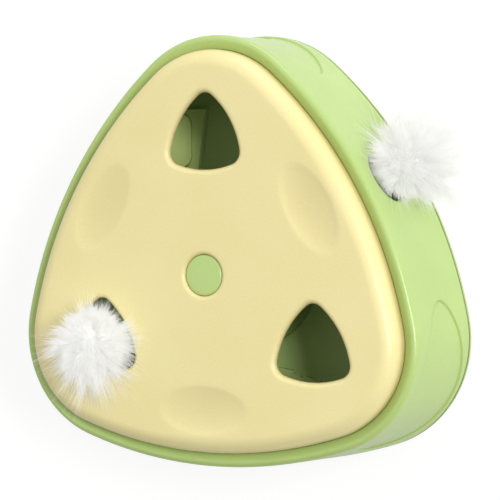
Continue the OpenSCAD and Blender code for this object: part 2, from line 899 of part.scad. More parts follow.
module gear_motor() {
    color("#b9bdc2")
    around([90], motor_ring) {
        translate([0, 0, floor_z + slack])
            difference() {
                cylinder(d = motor_d, h = motor_h - slack);
                translate([0, 0, motor_h - shaft_seat])
                    cylinder(r = shaft_d/2 + hub_fit, h = shaft_seat + 1);
            }
        difference() {
            pair(motor_d/2 + tab_out)
                translate([-tab_w/2, -tab_l/2, tab_z])
                    cube([tab_w, tab_l, tab_t]);
            translate([0, 0, tab_z - 1])
                cylinder(d = motor_d - 1, h = tab_t + 2);
            pair(tab_span)
                translate([0, 0, tab_z - 1])
                    cylinder(r = screw_r + 0.2, h = tab_t + 2);
        }
    }
}

module motor_shaft() {
    start = floor_z + motor_h - shaft_seat + seat_gap;
    color("#9a9ea4")
    around([90], motor_ring, start)
        cylinder(d = shaft_d, h = gear_z + gear_t + 0.5 - start);
}

module motor_pinion() {
    color("#f1efe6")
    around([90], motor_ring, gear_z)
        difference() {
            linear_extrude(gear_t)
                rotate([0, 0, 180 + 180/pinion_teeth])
                    gear_outline(pinion_teeth);
            translate([0, 0, -1])
                cylinder(r = shaft_d/2 + slack, h = gear_t + 2);
        }
}

module rotor_gear() {
    hub_z = shoulder_z + washer_t + slack;
    hex_z = tray_z + 0.3;
    light = 7;
    color("#f1efe6")
    difference() {
        union() {
            translate([0, 0, gear_z])
                linear_extrude(gear_t)
                    rotate([0, 0, 90])
                        gear_outline(gear_teeth);
            translate([0, 0, hub_z])
                cylinder(d = hub_d, h = hex_z - hub_z);
            translate([0, 0, hex_z - 1])
                cylinder(d = hub_d, h = frame_top - hex_z + 1, $fn = 6);
        }
        translate([0, 0, hub_z - 1])
            cylinder(r = column_d/2 + hub_fit, h = frame_top - hub_z + 2);
        around([0:60:300], (hub_d/2 + gear_r)/2, gear_z - 1)
            cylinder(d = light, h = gear_t + 2);
    }
}

// Frame that turns with the hub: rod guides along 30 degrees, lift posts on the far side
module rotor_frame() {
    arm_end = post_ring + sleeve_d/2 + 1.5;
    arm_half = post_side + sleeve_d/2;
    color("#e4e1d4")
    rotate([0, 0, 30])
        difference() {
            union() {
                translate([0, 0, frame_z])
                    cylinder(r = frame_r, h = frame_t);
                block(-arm_end, 0, 2*arm_half, frame_z, frame_top);
                pair(rod_side) {
                    block(lug_near, lug_far, lug_w, frame_top - 1, rod_z);
                    translate([0, 0, rod_z])
                        along(lug_near, lug_far, lug_w/2);
                }
            }
            translate([0, 0, frame_z - 1])
                rotate([0, 0, -30])
                    cylinder(d = hub_d + 2*slack, h = frame_t + 2, $fn = 6);
            pair(rod_side)
                translate([0, 0, rod_z])
                    along(lug_near - 1, lug_far + 1, rod_r + rod_fit);
            pair(post_side)
                translate([-post_ring, 0, frame_z + 0.5])
                    cylinder(r = rod_r + slack, h = frame_t);
        }
}

module lift_posts() {
    color("#aeb3b8")
    rotate([0, 0, 30])
        pair(post_side)
            translate([-post_ring, 0, frame_z + 0.6])
                cylinder(r = rod_r, h = post_top - frame_z - 0.6);
}

module post_bridge() {
    color("#e4e1d4")
    rotate([0, 0, 30])
        difference() {
            block(-post_ring - sleeve_d/2, -post_ring + sleeve_d/2, 2*post_side + sleeve_d,
                post_top - bridge_t, post_top);
            pair(post_side)
                translate([-post_ring, 0, post_top - bridge_t - 1])
                    cylinder(r = rod_r + slack, h = bridge_t + 2);
        }
}

// Carriage that rides up and down the posts and carries the ball in the cover
module lift_carriage() {
    half = sleeve_d/2;
    color("#f0ead6")
    rotate([0, 0, 30])
        difference() {
            union() {
                block(-post_ring - half, -post_ring + half, 2*post_side + sleeve_d, carriage_z,
                    carriage_top);
                block(-hole_ring, -post_ring, arm_w, carriage_z, arm_top);
                translate([-hole_ring, 0, carriage_z])
                    cylinder(d = arm_w, h = arm_t);
                translate([-hole_ring, 0, arm_top - 1])
                    cylinder(r = stem_r, h = lift_stem_top - arm_top + 1);
            }
            pair(post_side)
                translate([-post_ring, 0, carriage_z - 1]) {
                    cylinder(r = rod_r + rod_fit, h = carriage_h + 2);
                    cylinder(d = spring_d + wire_d + 0.3, h = carriage_pocket + 1);
                }
        }
}

module lift_springs() {
    start = frame_top + slack;
    color("#a8adb2")
    rotate([0, 0, 30])
        pair(post_side)
            translate([-post_ring, 0, start])
                coil(spring_turns, carriage_z + carriage_pocket - start - slack, spring_d - 0.6, wire_d);
}

module top_fur_ball() {
    color("#f4f4f1")
    around([210], hole_ring)
        fur_ball(top_ball_z, arm_top + seat_gap, lift_stem_top);
}

// Bar with a stem that carries the ball in the wall
module side_yoke() {
    bar_h = rod_d + 5;
    color("#f0ead6")
    rotate([0, 0, 30])
        translate([0, 0, rod_z])
            difference() {
                union() {
                    block(bar_ring, bar_ring + bar_t, 2*rod_side, -bar_h/2, bar_h/2);
                    pair(rod_side)
                        along(bar_ring, bar_ring + bar_t, bar_h/2);
                    along(bar_ring + bar_t - 1, bar_ring + bar_t + 3, stem_r + 1.5);
                    along(bar_ring + bar_t, yoke_stem_end, stem_r);
                }
                pair(rod_side)
                    along(bar_ring - 1, bar_ring + bar_t + 1, rod_r + slack);
            }
}

module side_rods() {
    color("#aeb3b8")
    rotate([0, 0, 30])
        translate([0, 0, rod_z])
            pair(rod_side)
                difference() {
                    along(lug_near - 4, bar_ring + bar_t - 0.5, rod_r);
                    translate([lug_near - 2.2, 0, 0])
                        rotate([0, 90, 0])
                            difference() {
                                cylinder(r = rod_r + 1, h = 1.1);
                                translate([0, 0, -1])
                                    cylinder(r = rod_r - 0.5, h = 4);
                            }
                }
}

// Clips that stop the rods in their guides
module rod_collars() {
    color("#8d9197")
    rotate([0, 0, 30])
        translate([0, 0, rod_z])
            pair(rod_side)
                difference() {
                    along(lug_near - 2.15, lug_near - 1.15, rod_r + 1.3);
                    along(lug_near - 4, lug_near + 1, rod_r - 0.5 + slack);
                    block(lug_near - 4, lug_near + 1, rod_d*0.5, 0, rod_d);
                }
}

module side_springs() {
    color("#a8adb2")
    rotate([0, 0, 30])
        translate([lug_far + slack, 0, rod_z])
            rotate([0, 90, 0])
                pair(rod_side)
                    coil(spring_turns, bar_ring - lug_far - 2*slack, spring_d, wire_d);
}

module side_fur_ball() {
    color("#f4f4f1")
    rotate([0, 0, 30])
        translate([0, 0, side_hole_z])
            rotate([0, 90, 0])
                fur_ball(side_ball_ring, yoke_stem_end - side_neck, yoke_stem_end);
}

module battery_cell() {
    cap_d = 5;
    color("#4f86b8")
    around([150], cell_ring, floor_z + 1 + cell_d/2 + slack)
        rotate([0, 0, 90]) {
            along(-cell_l/2, cell_l/2 - 1, cell_d/2);
            along(cell_l/2 - 2, cell_l/2, cap_d/2);
        }
}

module battery_cradle() {
    side_t = 1.6;
    outer_w = cell_d + 2*side_t;
    outer_l = cell_l + 2*side_t + 1;
    color("#2e3033")
    around([150], cell_ring)
        rotate([0, 0, 90])
            difference() {
                block(-outer_l/2, outer_l/2, outer_w, floor_z + slack, floor_z + 0.7*cell_d);
                translate([0, 0, floor_z + 1 + cell_d/2 + slack])
                    along(-cell_l/2 - 0.5, cell_l/2 + 0.5, cell_d/2 + slack);
                block(-cell_l/2 - 0.5, cell_l/2 + 0.5, cell_d + 2*slack, floor_z + 1 + cell_d/2, tray_z);
            }
}

module main_board() {
    color("#2f6b46")
    around([270], board_ring, board_z)
        difference() {
            block(-board_w/2, board_w/2, board_l, 0, board_t);
            for (x = [-1, 1])
                translate([x*(board_w/2 - board_margin), 0, -1])
                    pair(board_l/2 - board_margin)
                        cylinder(d = board_peg_d + 2*seat_gap, h = board_t + 2);
        }
}

module board_components() {
    chip_w = 10;
    chip_h = 1.8;
    can_d = 8;
    can_h = 4.5;
    plug_w = 9;
    plug_l = 5.5;
    plug_h = 5.5;
    color("#2b2d31")
    around([270], board_ring, board_z + board_t + slack) {
        block(-chip_w/2, chip_w/2, chip_w, 0, chip_h);
        translate([-can_d/2, chip_w + can_d, 0])
            cylinder(d = can_d, h = can_h);
        translate([0, -chip_w - plug_l, 0])
            block(-plug_l, 0, plug_w, 0, plug_h);
        translate([chip_w, chip_w + plug_l, 0])
            block(-plug_l, 0, plug_w, 0, plug_h);
    }
}

module charge_board() {
    color("#2f6b46")
    rotate([0, 0, 90])
        block(port_board_back, port_board_front, port_board_w, port_board_z, port_board_z + board_t);
}

module charge_socket() {
    shell_t = 0.4;
    tongue_h = 0.7;
    color("#b6bac0")
    rotate([0, 0, 90])
        translate([0, 0, port_z + slack]) {
            difference() {
                slot(socket_front - socket_l, socket_front, socket_w, socket_h);
                slot(socket_front - socket_l + 1, socket_front + 1, socket_w - 2*shell_t,
                    socket_h - 2*shell_t);
            }
            block(socket_front - socket_l + 0.5, socket_front - 1, socket_w - 2.4, -tongue_h/2, tongue_h/2);
        }
}

module case_screws() {
    color("#8d9197")
    around(CORNERS, boss_ring, back_z + head_h + 0.6)
        rotate([180, 0, 0])
            screw(case_screw_l);
}

module tray_screws() {
    color("#8d9197")
    around(CORNERS, boss_ring, tray_z + slack)
        screw(tray_screw_l);
}

module cover_screws() {
    color("#8d9197")
    around(CORNERS, ear_ring, ear_z - slack)
        rotate([180, 0, 0])
            screw(cover_screw_l);
}

module motor_screws() {
    color("#8d9197")
    around([90], motor_ring, tab_z + tab_t + slack)
        pair(tab_span)
            screw(motor_screw_l);
}

back_cover();
rubber_feet();
main_shell();
top_cover();
inner_tray();
centre_column();
thrust_washer();
hub_clip();
switch_holder();
button_board();
button_switch();
button_spring();
power_button();
gear_motor();
motor_shaft();
motor_pinion();
rotor_gear();
rotor_frame();
lift_posts();
post_bridge();
lift_carriage();
lift_springs();
top_fur_ball();
side_yoke();
side_rods();
rod_collars();
side_springs();
side_fur_ball();
battery_cell();
battery_cradle();
main_board();
board_components();
charge_board();
charge_socket();
case_screws();
tray_screws();
cover_screws();
motor_screws();
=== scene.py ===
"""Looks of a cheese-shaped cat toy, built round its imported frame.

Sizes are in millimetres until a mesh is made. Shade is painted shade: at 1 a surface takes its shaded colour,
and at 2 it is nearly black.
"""

import json
import math

import bmesh
import bpy
import numpy as np
from mathutils import Matrix, Vector
from mathutils.geometry import delaunay_2d_cdt


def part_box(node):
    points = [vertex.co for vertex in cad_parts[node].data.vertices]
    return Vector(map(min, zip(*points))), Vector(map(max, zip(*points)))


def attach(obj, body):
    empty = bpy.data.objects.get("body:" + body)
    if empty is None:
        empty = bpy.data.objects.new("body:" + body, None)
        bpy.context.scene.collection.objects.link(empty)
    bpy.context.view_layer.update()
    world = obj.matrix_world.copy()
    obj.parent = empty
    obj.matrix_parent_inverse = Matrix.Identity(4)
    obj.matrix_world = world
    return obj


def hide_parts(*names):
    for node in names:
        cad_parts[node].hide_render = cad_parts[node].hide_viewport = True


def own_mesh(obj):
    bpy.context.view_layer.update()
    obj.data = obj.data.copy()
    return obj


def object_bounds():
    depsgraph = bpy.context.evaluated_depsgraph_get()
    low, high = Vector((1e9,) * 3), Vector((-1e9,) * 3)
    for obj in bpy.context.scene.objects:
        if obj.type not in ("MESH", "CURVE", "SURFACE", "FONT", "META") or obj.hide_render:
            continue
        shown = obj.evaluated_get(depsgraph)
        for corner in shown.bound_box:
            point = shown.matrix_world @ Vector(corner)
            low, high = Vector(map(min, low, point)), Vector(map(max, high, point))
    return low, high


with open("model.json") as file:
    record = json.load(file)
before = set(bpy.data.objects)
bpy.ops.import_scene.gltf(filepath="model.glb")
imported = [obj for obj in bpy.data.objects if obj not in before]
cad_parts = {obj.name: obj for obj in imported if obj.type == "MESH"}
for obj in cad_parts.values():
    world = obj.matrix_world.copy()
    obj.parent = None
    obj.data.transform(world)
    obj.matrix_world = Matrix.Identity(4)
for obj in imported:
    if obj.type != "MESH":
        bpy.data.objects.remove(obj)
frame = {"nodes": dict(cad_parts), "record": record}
cad_box = [list(corner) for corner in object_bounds()]

MM = 0.001

# Case
SIDE_REACH = 94.4
SIDE_RADIUS = 219.5
CORNER_RADIUS = 54.9
DRAFT = 3.4
WALL = 2.4
SEAM_Z = 4.5
RIM_Z = 61.5
RIM_W = 6.8
RIM_ROUND = 2.6
RIM_DIP = 1.9
RIM_STEPS = (0.15, 0.3, 0.5, 0.75)
RIM_FALL = 1.25
RIM_LIP = 0.4
LEDGE_W = 5.5
SEAM_CHAMFER = 0.8
SEAM_BLEND = 0.08
SEAT_GAP = 0.1
SIDES = (30, 150, 270)
CORNERS = (90, 210, 330)

# Back cover and feet
BACK_Z = 1.0
BACK_ROUND = 1.5
FOOT_D = 14.0
CORNER_TO_FOOT = 42.3
FOOT_POCKET = 1.0
CORNER_TO_SCREW = 24.3
SCREW_RECESS_D = 5.8
SCREW_RECESS = 2.3

# Cover
COVER_RISE = 8.8
COVER_T = 2.8
COVER_ROLL = 8.0
COVER_SINK = 2.8
COVER_GAP = 0.3
CORNER_TO_HOLE = 51.3
HOLE_REACH = 15.5
HOLE_RADIUS = 43.4
HOLE_CORNER = 6.0
HOLE_FLARE = 2.6
DIMPLE_RING = 63.5
DIMPLE_L = 48.0
DIMPLE_W = 24.0
DIMPLE_DEPTH = 1.4
DIMPLE_END = 1.02
DIMPLE_SOFT = 0.16
BUTTON_R = 9.7
BUTTON_EDGE = 1.2
BUTTON_FIT = 0.1
BORE_FLARE = 2.0
BUTTON_CROWN = 0.25
BUTTON_STEPS = (0.02, 0.25, 0.5, 0.75)
BUTTON_WALL = 1.8
BUTTON_ROOF = 2.4
FLANGE_T = 1.4
NIB_R = 2.5
GUIDE_H = 3.5
GUIDE_WALL = 1.8

# Holes and panels in the wall
SIDE_HOLE_R = 12.4
SIDE_HOLE_Z = 38.5
SIDE_HOLE_FLARE = 1.5
PANEL_L = 87.0
PANEL_H = 47.0
PANEL_Z = 31.5
PANEL_SINK = 0.8
PANEL_EDGE = 0.45
PORT_Z = 20.0
PORT_DENT = 2.0
PORT_PAD = 2.5
PORT_W = 20.0
PORT_H = 10.0
SLOT_W = 9.6
SLOT_H = 3.8
SLOT_EDGE = 0.3
PAD_W = 14.0
PAD_H = 9.0

# Tray, and the heights over which a painted highlight lightens its raised lid
TRAY_Z = 21.5
LID_RISE = 6.0
LID_FADE = 4.0

# Springs
ROTOR_AXIS = 30
WIRE_D = 0.7
SPRING_TURNS = 9
ROD_SIDE = 15.0
LUG_FAR = 12.0
BAR_RING = 62.0
SIDE_SPRING_D = 6.2
POST_RING = 36.0
POST_SIDE = 7.0
LIFT_SPRING_D = 5.6
BUTTON_SPRING_D = 13.0
BUTTON_SPRING_WIRE = 0.6
BUTTON_SPRING_TURNS = 3

# Fur balls
BALL_CORE = 11.5
FUR_LENGTH = 10.5
FUR_STRANDS = 8500
FUR_POINTS = 7
FUR_SIDES = 3
FUR_THICKNESS = 0.09
FUR_LOCKS = 210
FUR_GLOW_SHARE = 0.4
# Scatter and bend of strands and locks, with lengths, widths and depths as shares of the full ones
STRAND_SCATTER = 0.05
STRAND_LENGTHS = (0.65, 1.15)
STRAND_BEND = 0.14
STRAND_WIDTHS = (0.75, 1.25)
STRAND_TAPER = 0.9
LOCK_SCATTER = 0.09
LOCK_LENGTHS = (0.62, 1.32)
LOCK_BEND = 0.22
LOCK_HOLD = 0.28
LOCK_PULL = 0.24
# Wisps are longer strands that their lock doesn't hold
WISP_SHARE = 0.14
WISP_LENGTHS = (1.1, 1.5)
ROOT_DEPTHS = (0.80, 0.97)
PARTING = 0.50
LEAN_BEND = 0.35
SAG = 0.10
# How deep a tuft sits in its hole, and how far strands and middle lie off the face round it
TUFT_SINK = 14.0
STRAND_LIFT = 0.4
CORE_LIFT = 0.3
# Radius of the middle between the locks and what it gains under one, as shares of the core
CORE_SHARE = 0.55
CORE_SWELL = 0.5
# How far the fur stands proud of the case's box, and how it yields before a limit
FUR_PROUD = 14.5
FUR_RISE = 11.0
FUR_YIELD = 5.5
# Outer side of the lift's posts, which the fur stays clear of
POST_REACH = 38.6
# The side ball's fur passes over the tray and under the cover
SIDE_FUR_HEIGHTS = (22.4, 61.0)

# Derived heights and insets
COVER_INSET = DRAFT + RIM_W
LEDGE_Z = RIM_Z - COVER_SINK
COVER_TOP = RIM_Z + COVER_RISE
COVER_UNDER = COVER_TOP - COVER_T
FLOOR_Z = SEAM_Z - SEAT_GAP
WALL_LOW = SEAM_Z + SEAM_CHAMFER
WALL_HIGH = RIM_Z - RIM_ROUND
INNER_HIGH = LEDGE_Z - WALL
BORE_R = BUTTON_R + BUTTON_FIT

# Points round the case, holes, panels, dimples and circles
STATIONS = 396
HOLE_POINTS = 150
PANEL_POINTS = 120
DIMPLE_POINTS = 84
RING = 72
SMALL_RING = 36
# Edges kept in a panel, in widths of its edge, and round a dimple, as shares of its size
PANEL_CREASES = (0, 1, 2, 6)
DIMPLE_CREASES = (DIMPLE_END - DIMPLE_SOFT, DIMPLE_END - DIMPLE_SOFT/2, DIMPLE_END)
# Half the stretch of wall that a panel is looked for on, and the points along it
PANEL_SEARCH = 70.0
PANEL_SAMPLES = 281
# Spacing of points on large faces, and their least gap to an edge as a share of it
WALL_SPACING = 3.0
INNER_SPACING = 4.0
COVER_SPACING = 2.4
UNDER_SPACING = 5.0
BACK_SPACING = 9.0
FLOOR_SPACING = 12.0
GRID_GAP = 0.62
# Points whose gaps are worked out at a time
BATCH = 400
# Distances in metres at which points are welded and edges count as empty
WELD = 2e-6
EMPTY_EDGE = 1e-7
# Length that keeps an empty vector from a division by zero
LEAST_LENGTH = 1e-9

# Painted shade of narrow gaps, of undersides, of the deepest place of a form and of the fur's roots and
# middle
GAP_SHADE = 1.9
UNDER_SHADE = 0.6
RIM_SHADE = 0.1
LIP_SHADE = 0.3
PANEL_LINE_SHADE = 0.5
PANEL_UNDER_SHADE = 0.9
DIMPLE_SHADE = 0.16
HOLE_SHADE = 0.75
HOLE_FOOT_SHADE = 0.8
BORE_SHADE = 0.8
ROLL_SHADE = 0.55
ROOT_SHADE = 0.55
CORE_SHADE = 0.45
# How far a panel's painted shade fades out, in widths of its edge
PANEL_FADE = 5
# Colour of the darkest painted shade, in gaps and slots
DARK_SHADE_COLOUR = "#181c0e"
# Range that noise mostly stays in
NOISE_SPAN = (0.3, 0.7)

# Camera at the photograph's view. Its near limit is in metres
EYE = (430.69, 38.22, 852.45)
EYE_RIGHT = (0.887735, 0.0, -0.460355)
EYE_UP = (-0.013577, 0.999565, -0.026181)
LENS = 137.4
SENSOR = 36.0
CLIP_START = 0.01

# Studio in metres and watts: the floor, the sky's brightness towards the apex and away from it, and the lamps
FLOOR_HALF = 6.0
FLOOR_GLOW = 1.12
FLOOR_GLOW_SHARE = 0.72
SKY_ABOVE = 0.78
SKY_BELOW = 0.02
SKY_SPAN = (-0.9, 0.1)
LAMP_AIM = (0, 0.01, 0.04)
# Name, place, width, height and power of each lamp
LAMPS = (
    ("key", (0.30, 1.88, 0.30), 0.90, 0.56, 5.5),
    ("front", (1.59, 0.25, 1.50), 0.90, 0.35, 22.0),
    ("strip", (1.75, 0.00, 0.75), 1.60, 0.10, 2.5),
)


def polar(direction, reach):
    """Point at a distance from the centre, in a direction in degrees."""
    a = math.radians(direction)
    return np.array([reach*math.cos(a), reach*math.sin(a)])


def sideways(direction):
    """Unit vector square to a direction in degrees."""
    a = math.radians(direction)
    return np.array([-math.sin(a), math.cos(a)])


def wall_inset(z):
    """How far the wall is drawn in at a height."""
    return DRAFT*(z - SEAM_Z)/(RIM_Z - SEAM_Z)


class Outline:
    """Bowed triangle with round corners.

    A point runs along the edge by arc length, and inwards by an inset.
    """

    def __init__(self, reach, bow, corner):
        back = bow - reach
        gap = bow - corner
        out = (math.sqrt(4*gap*gap - 3*back*back) - back)/2
        sixty = math.pi/3
        half = math.atan2(out*math.sin(sixty), out*math.cos(sixty) + back)
        arcs = []
        for axis in SIDES:
            side = math.radians(axis)
            arcs.append([-back*math.cos(side), -back*math.sin(side), bow, side - half, 2*half])
            tip = side + sixty
            arcs.append([out*math.cos(tip), out*math.sin(tip), corner, side + half, 2*sixty - 2*half])
        self.tip = out + corner
        self.arcs = np.array(arcs)
        self.lengths = self.arcs[:, 2]*self.arcs[:, 4]
        self.starts = np.concatenate([[0.0], np.cumsum(self.lengths)])
        self.total = self.starts[-1]

    def at(self, u, inset):
        """Points at arc lengths u, drawn in by an inset."""
        u = np.mod(np.asarray(u, float), self.total)
        k = np.clip(np.searchsorted(self.starts, u, side="right") - 1, 0, len(self.arcs) - 1)
        cx, cy, r, start, _ = self.arcs[k].T
        a = start + (u - self.starts[k])/r
        return np.stack([cx + (r - inset)*np.cos(a), cy + (r - inset)*np.sin(a)], -1)

    def middle(self, arc):
        """Arc length at the middle of an arc. Even arcs are sides, odd ones are corners."""
        return self.starts[arc] + self.lengths[arc]/2

    def loop(self, count, inset):
        return self.at(np.arange(count)*self.total/count, inset)


CASE = Outline(SIDE_REACH, SIDE_RADIUS, CORNER_RADIUS)
HOLE = Outline(HOLE_REACH, HOLE_RADIUS, HOLE_CORNER)
FOOT_RING = CASE.tip - CORNER_TO_FOOT
SCREW_RING = CASE.tip - CORNER_TO_SCREW
HOLE_RING = CASE.tip - CORNER_TO_HOLE
SIDE_OUT = SIDE_REACH - wall_inset(SIDE_HOLE_Z)
PORT_OUT = CASE.tip - wall_inset(PORT_Z)
# Arc length at which the wall is cut to unroll it
WALL_START = 30.0
CASE_U = WALL_START + np.arange(STATIONS)*CASE.total/STATIONS


def lift(flat, z):
    """Flat points raised to a height."""
    return np.concatenate([flat, np.broadcast_to(z, (len(flat),))[:, None]], 1)


def circle(radius, count=RING):
    a = np.arange(count)*2*math.pi/count
    return np.stack([radius*np.cos(a), radius*np.sin(a)], -1)


def stadium(width, height, count=13):
    """Loop of a flat slot with round ends."""
    a = np.linspace(-math.pi/2, math.pi/2, count)
    end = np.stack([(width - height)/2 + height/2*np.cos(a), height/2*np.sin(a)], -1)
    return np.concatenate([end, -end])


def quarter(steps):
    """Angles of a quarter round, from its foot to its top."""
    return np.linspace(0, math.pi/2, steps + 1)


def within(points, loop):
    """Which points lie inside a closed loop."""
    x, y = points[:, 0], points[:, 1]
    inside = np.zeros(len(points), bool)
    for (x0, y0), (x1, y1) in zip(loop, np.roll(loop, -1, 0)):
        crosses = (y0 > y) != (y1 > y)
        if crosses.any():
            inside ^= crosses & (x < (x1 - x0)*(y - y0)/(y1 - y0 + 1e-30) + x0)
    return inside


def in_region(points, edge, holes):
    """Which points lie inside an edge and outside its holes."""
    kept = within(points, edge)
    for hole in holes:
        kept &= ~within(points, hole)
    return kept


def grid_points(low, high, spacing):
    """Points of a triangular grid over a box."""
    grid = [np.zeros((0, 2))]
    for i, y in enumerate(np.arange(low[1] + spacing/2, high[1], spacing*math.sqrt(3)/2)):
        x = np.arange(low[0] + spacing*(0.5 if i % 2 else 1.0), high[0], spacing)
        grid.append(np.stack([x, np.full(len(x), y)], -1))
    return np.concatenate(grid)


def clear_of(points, marked, gap):
    """Points that keep a gap from all marked points, worked out in batches."""
    kept = []
    for batch in np.array_split(points, max(1, len(points)//BATCH)):
        nearest = np.linalg.norm(batch[:, None] - marked[None], axis=2).min(1)
        kept.append(batch[nearest > gap])
    return np.concatenate(kept)


def fill(edge, holes, creases, spacing):
    """Triangles of a flat region inside an edge and outside its holes, with creases kept as edges."""
    loops = [edge, *holes, *creases]
    marked = np.concatenate(loops)
    links = []
    for loop in loops:
        start = len(links)
        links += [(start + i, start + (i + 1) % len(loop)) for i in range(len(loop))]
    grid = grid_points(marked.min(0), marked.max(0), spacing)
    grid = clear_of(grid[in_region(grid, edge, holes)], marked, spacing*GRID_GAP)
    points = np.concatenate([marked, grid])
    made = delaunay_2d_cdt([Vector(p) for p in points], links, [], 0, 1e-6)
    flat = np.array([v[:] for v in made[0]])
    faces = np.array([f[:] for f in made[2]])
    return flat, faces[in_region(flat[faces].mean(1), edge, holes)]


class Skin:
    """Patches of one closed surface. Patches that share their edge points are welded."""

    def __init__(self):
        self.points = []
        self.faces = []
        self.shade = []
        self.count = 0

    def add(self, points, faces, shade=0.0):
        self.points.append(np.asarray(points, float))
        self.faces += [[int(i) + self.count for i in f] for f in faces]
        self.shade.append(np.broadcast_to(np.asarray(shade, float), (len(points),)))
        self.count += len(points)

    def strip(self, rings, shades=None):
        """Quads between closed rings that have the same number of points."""
        n = len(rings[0])
        faces = []
        for j in range(len(rings) - 1):
            for i in range(n):
                k = (i + 1) % n
                faces.append([j*n + i, j*n + k, (j + 1)*n + k, (j + 1)*n + i])
        shade = 0.0 if shades is None else np.repeat(shades, n)
        self.add(np.concatenate(rings), faces, shade)

    def band(self, profile):
        """Strip round the case from a profile of [inset, height, painted shade]."""
        rings = [lift(CASE.at(CASE_U, inset), z) for inset, z, _ in profile]
        self.strip(rings, [shade for _, _, shade in profile])

    def piece(self, name, material, crease):
        return make_piece(name, np.concatenate(self.points), self.faces, material, crease,
                          np.concatenate(self.shade))


def make_piece(name, points, faces, material, crease, shade):
    """Mesh object from points in millimetres: welded, turned outwards and smooth up to a crease angle."""
    mesh = bpy.data.meshes.new(name)
    mesh.from_pydata((np.asarray(points)*MM).tolist(), [], faces)
    # Painted shade of each point, which the materials mix into their colour
    layer = mesh.attributes.new("shade", "FLOAT", "POINT")
    layer.data.foreach_set("value", np.asarray(shade, np.float32))
    work = bmesh.new()
    work.from_mesh(mesh)
    bmesh.ops.remove_doubles(work, verts=work.verts, dist=WELD)
    bmesh.ops.dissolve_degenerate(work, edges=work.edges, dist=EMPTY_EDGE)
    bmesh.ops.recalc_face_normals(work, faces=work.faces)
    work.to_mesh(mesh)
    work.free()
    mesh.shade_smooth()
    mesh.set_sharp_from_angle(angle=math.radians(crease))
    mesh.materials.append(material)
    piece = bpy.data.objects.new(name, mesh)
    bpy.context.scene.collection.objects.link(piece)
    return piece


def revolve(profile):
    """Rings of a profile of [radius, height] turned round the Z axis."""
    return [lift(circle(r), z) for r, z in profile]


def linear(code):
    """Colour from a hex code, as the shader takes it."""
    parts = [int(code[i:i + 2], 16)/255 for i in (1, 3, 5)]
    return [p/12.92 if p <= 0.04045 else ((p + 0.055)/1.055)**2.4 for p in parts] + [1.0]


def remap(tree, value, start, stop, low=0.0, high=1.0):
    """Value brought from one range to another by a node of a tree."""
    node = tree.nodes.new("ShaderNodeMapRange")
    for name, limit in {"From Min": start, "From Max": stop, "To Min": low, "To Max": high}.items():
        node.inputs[name].default_value = limit
    tree.links.new(value, node.inputs["Value"])
    return node.outputs["Result"]


class Shader:
    """Node material with a few short ways to add its nodes."""

    def __init__(self, name):
        self.material = bpy.data.materials.new(name)
        self.material.use_nodes = True
        self.tree = self.material.node_tree
        self.surface = self.tree.nodes["Principled BSDF"]
        self.place = self.tree.nodes.new("ShaderNodeTexCoord").outputs["Object"]

    def link(self, out, into):
        self.tree.links.new(out, into)

    def feed(self, value, socket):
        """Gives a socket a number, a hex colour or a link from another node."""
        if isinstance(value, float):
            socket.default_value = value
        elif isinstance(value, str):
            socket.default_value = linear(value)
        else:
            self.link(value, socket)

    def noise(self, size, detail=3.0, stretch=None):
        """Noise whose lumps are about a size in millimetres."""
        node = self.tree.nodes.new("ShaderNodeTexNoise")
        node.inputs["Scale"].default_value = 1/(size*MM)
        node.inputs["Detail"].default_value = detail
        place = self.place
        if stretch:
            mapping = self.tree.nodes.new("ShaderNodeMapping")
            mapping.inputs["Scale"].default_value = stretch
            self.link(self.place, mapping.inputs["Vector"])
            place = mapping.outputs["Vector"]
        self.link(place, node.inputs["Vector"])
        return node.outputs["Fac"]

    def ramp(self, value, stops):
        node = self.tree.nodes.new("ShaderNodeValToRGB")
        elements = node.color_ramp.elements
        while len(elements) < len(stops):
            elements.new(0.5)
        for element, (position, colour) in zip(elements, stops):
            element.position = position
            element.color = linear(colour) if isinstance(colour, str) else [colour]*3 + [1]
        self.link(value, node.inputs["Fac"])
        return node.outputs["Color"]

    def span(self, noise, low, high):
        """Noise spread between two values."""
        return remap(self.tree, noise, *NOISE_SPAN, low, high)

    def mix(self, factor, first, second, blend="MIX"):
        node = self.tree.nodes.new("ShaderNodeMix")
        node.data_type = "RGBA"
        node.blend_type = blend
        self.feed(factor, node.inputs[0])
        self.feed(first, node.inputs[6])
        self.feed(second, node.inputs[7])
        return node.outputs[2]

    def layer(self, factor, first, second):
        """Mix of two surfaces."""
        node = self.tree.nodes.new("ShaderNodeMixShader")
        self.feed(factor, node.inputs["Fac"])
        self.link(first, node.inputs[1])
        self.link(second, node.inputs[2])
        return node.outputs["Shader"]

    def wear(self, surface):
        """Puts another surface in the place of the plain one."""
        self.link(surface, self.tree.nodes["Material Output"].inputs["Surface"])

    def attribute(self, name):
        node = self.tree.nodes.new("ShaderNodeAttribute")
        node.attribute_name = name
        return node.outputs["Fac"]

    def limit(self, value, less):
        """Value less an amount, kept between 0 and 1."""
        node = self.tree.nodes.new("ShaderNodeMath")
        node.operation = "SUBTRACT"
        node.use_clamp = True
        node.inputs[1].default_value = less
        self.link(value, node.inputs[0])
        return node.outputs[0]

    def rise(self, low, high):
        """0 below a height in millimetres, 1 above another."""
        split = self.tree.nodes.new("ShaderNodeSeparateXYZ")
        self.link(self.place, split.inputs[0])
        return remap(self.tree, split.outputs["Z"], low*MM, high*MM)

    def bump(self, height, strength, distance):
        node = self.tree.nodes.new("ShaderNodeBump")
        node.inputs["Strength"].default_value = strength
        node.inputs["Distance"].default_value = distance*MM
        self.link(height, node.inputs["Height"])
        self.link(node.outputs["Normal"], self.surface.inputs["Normal"])


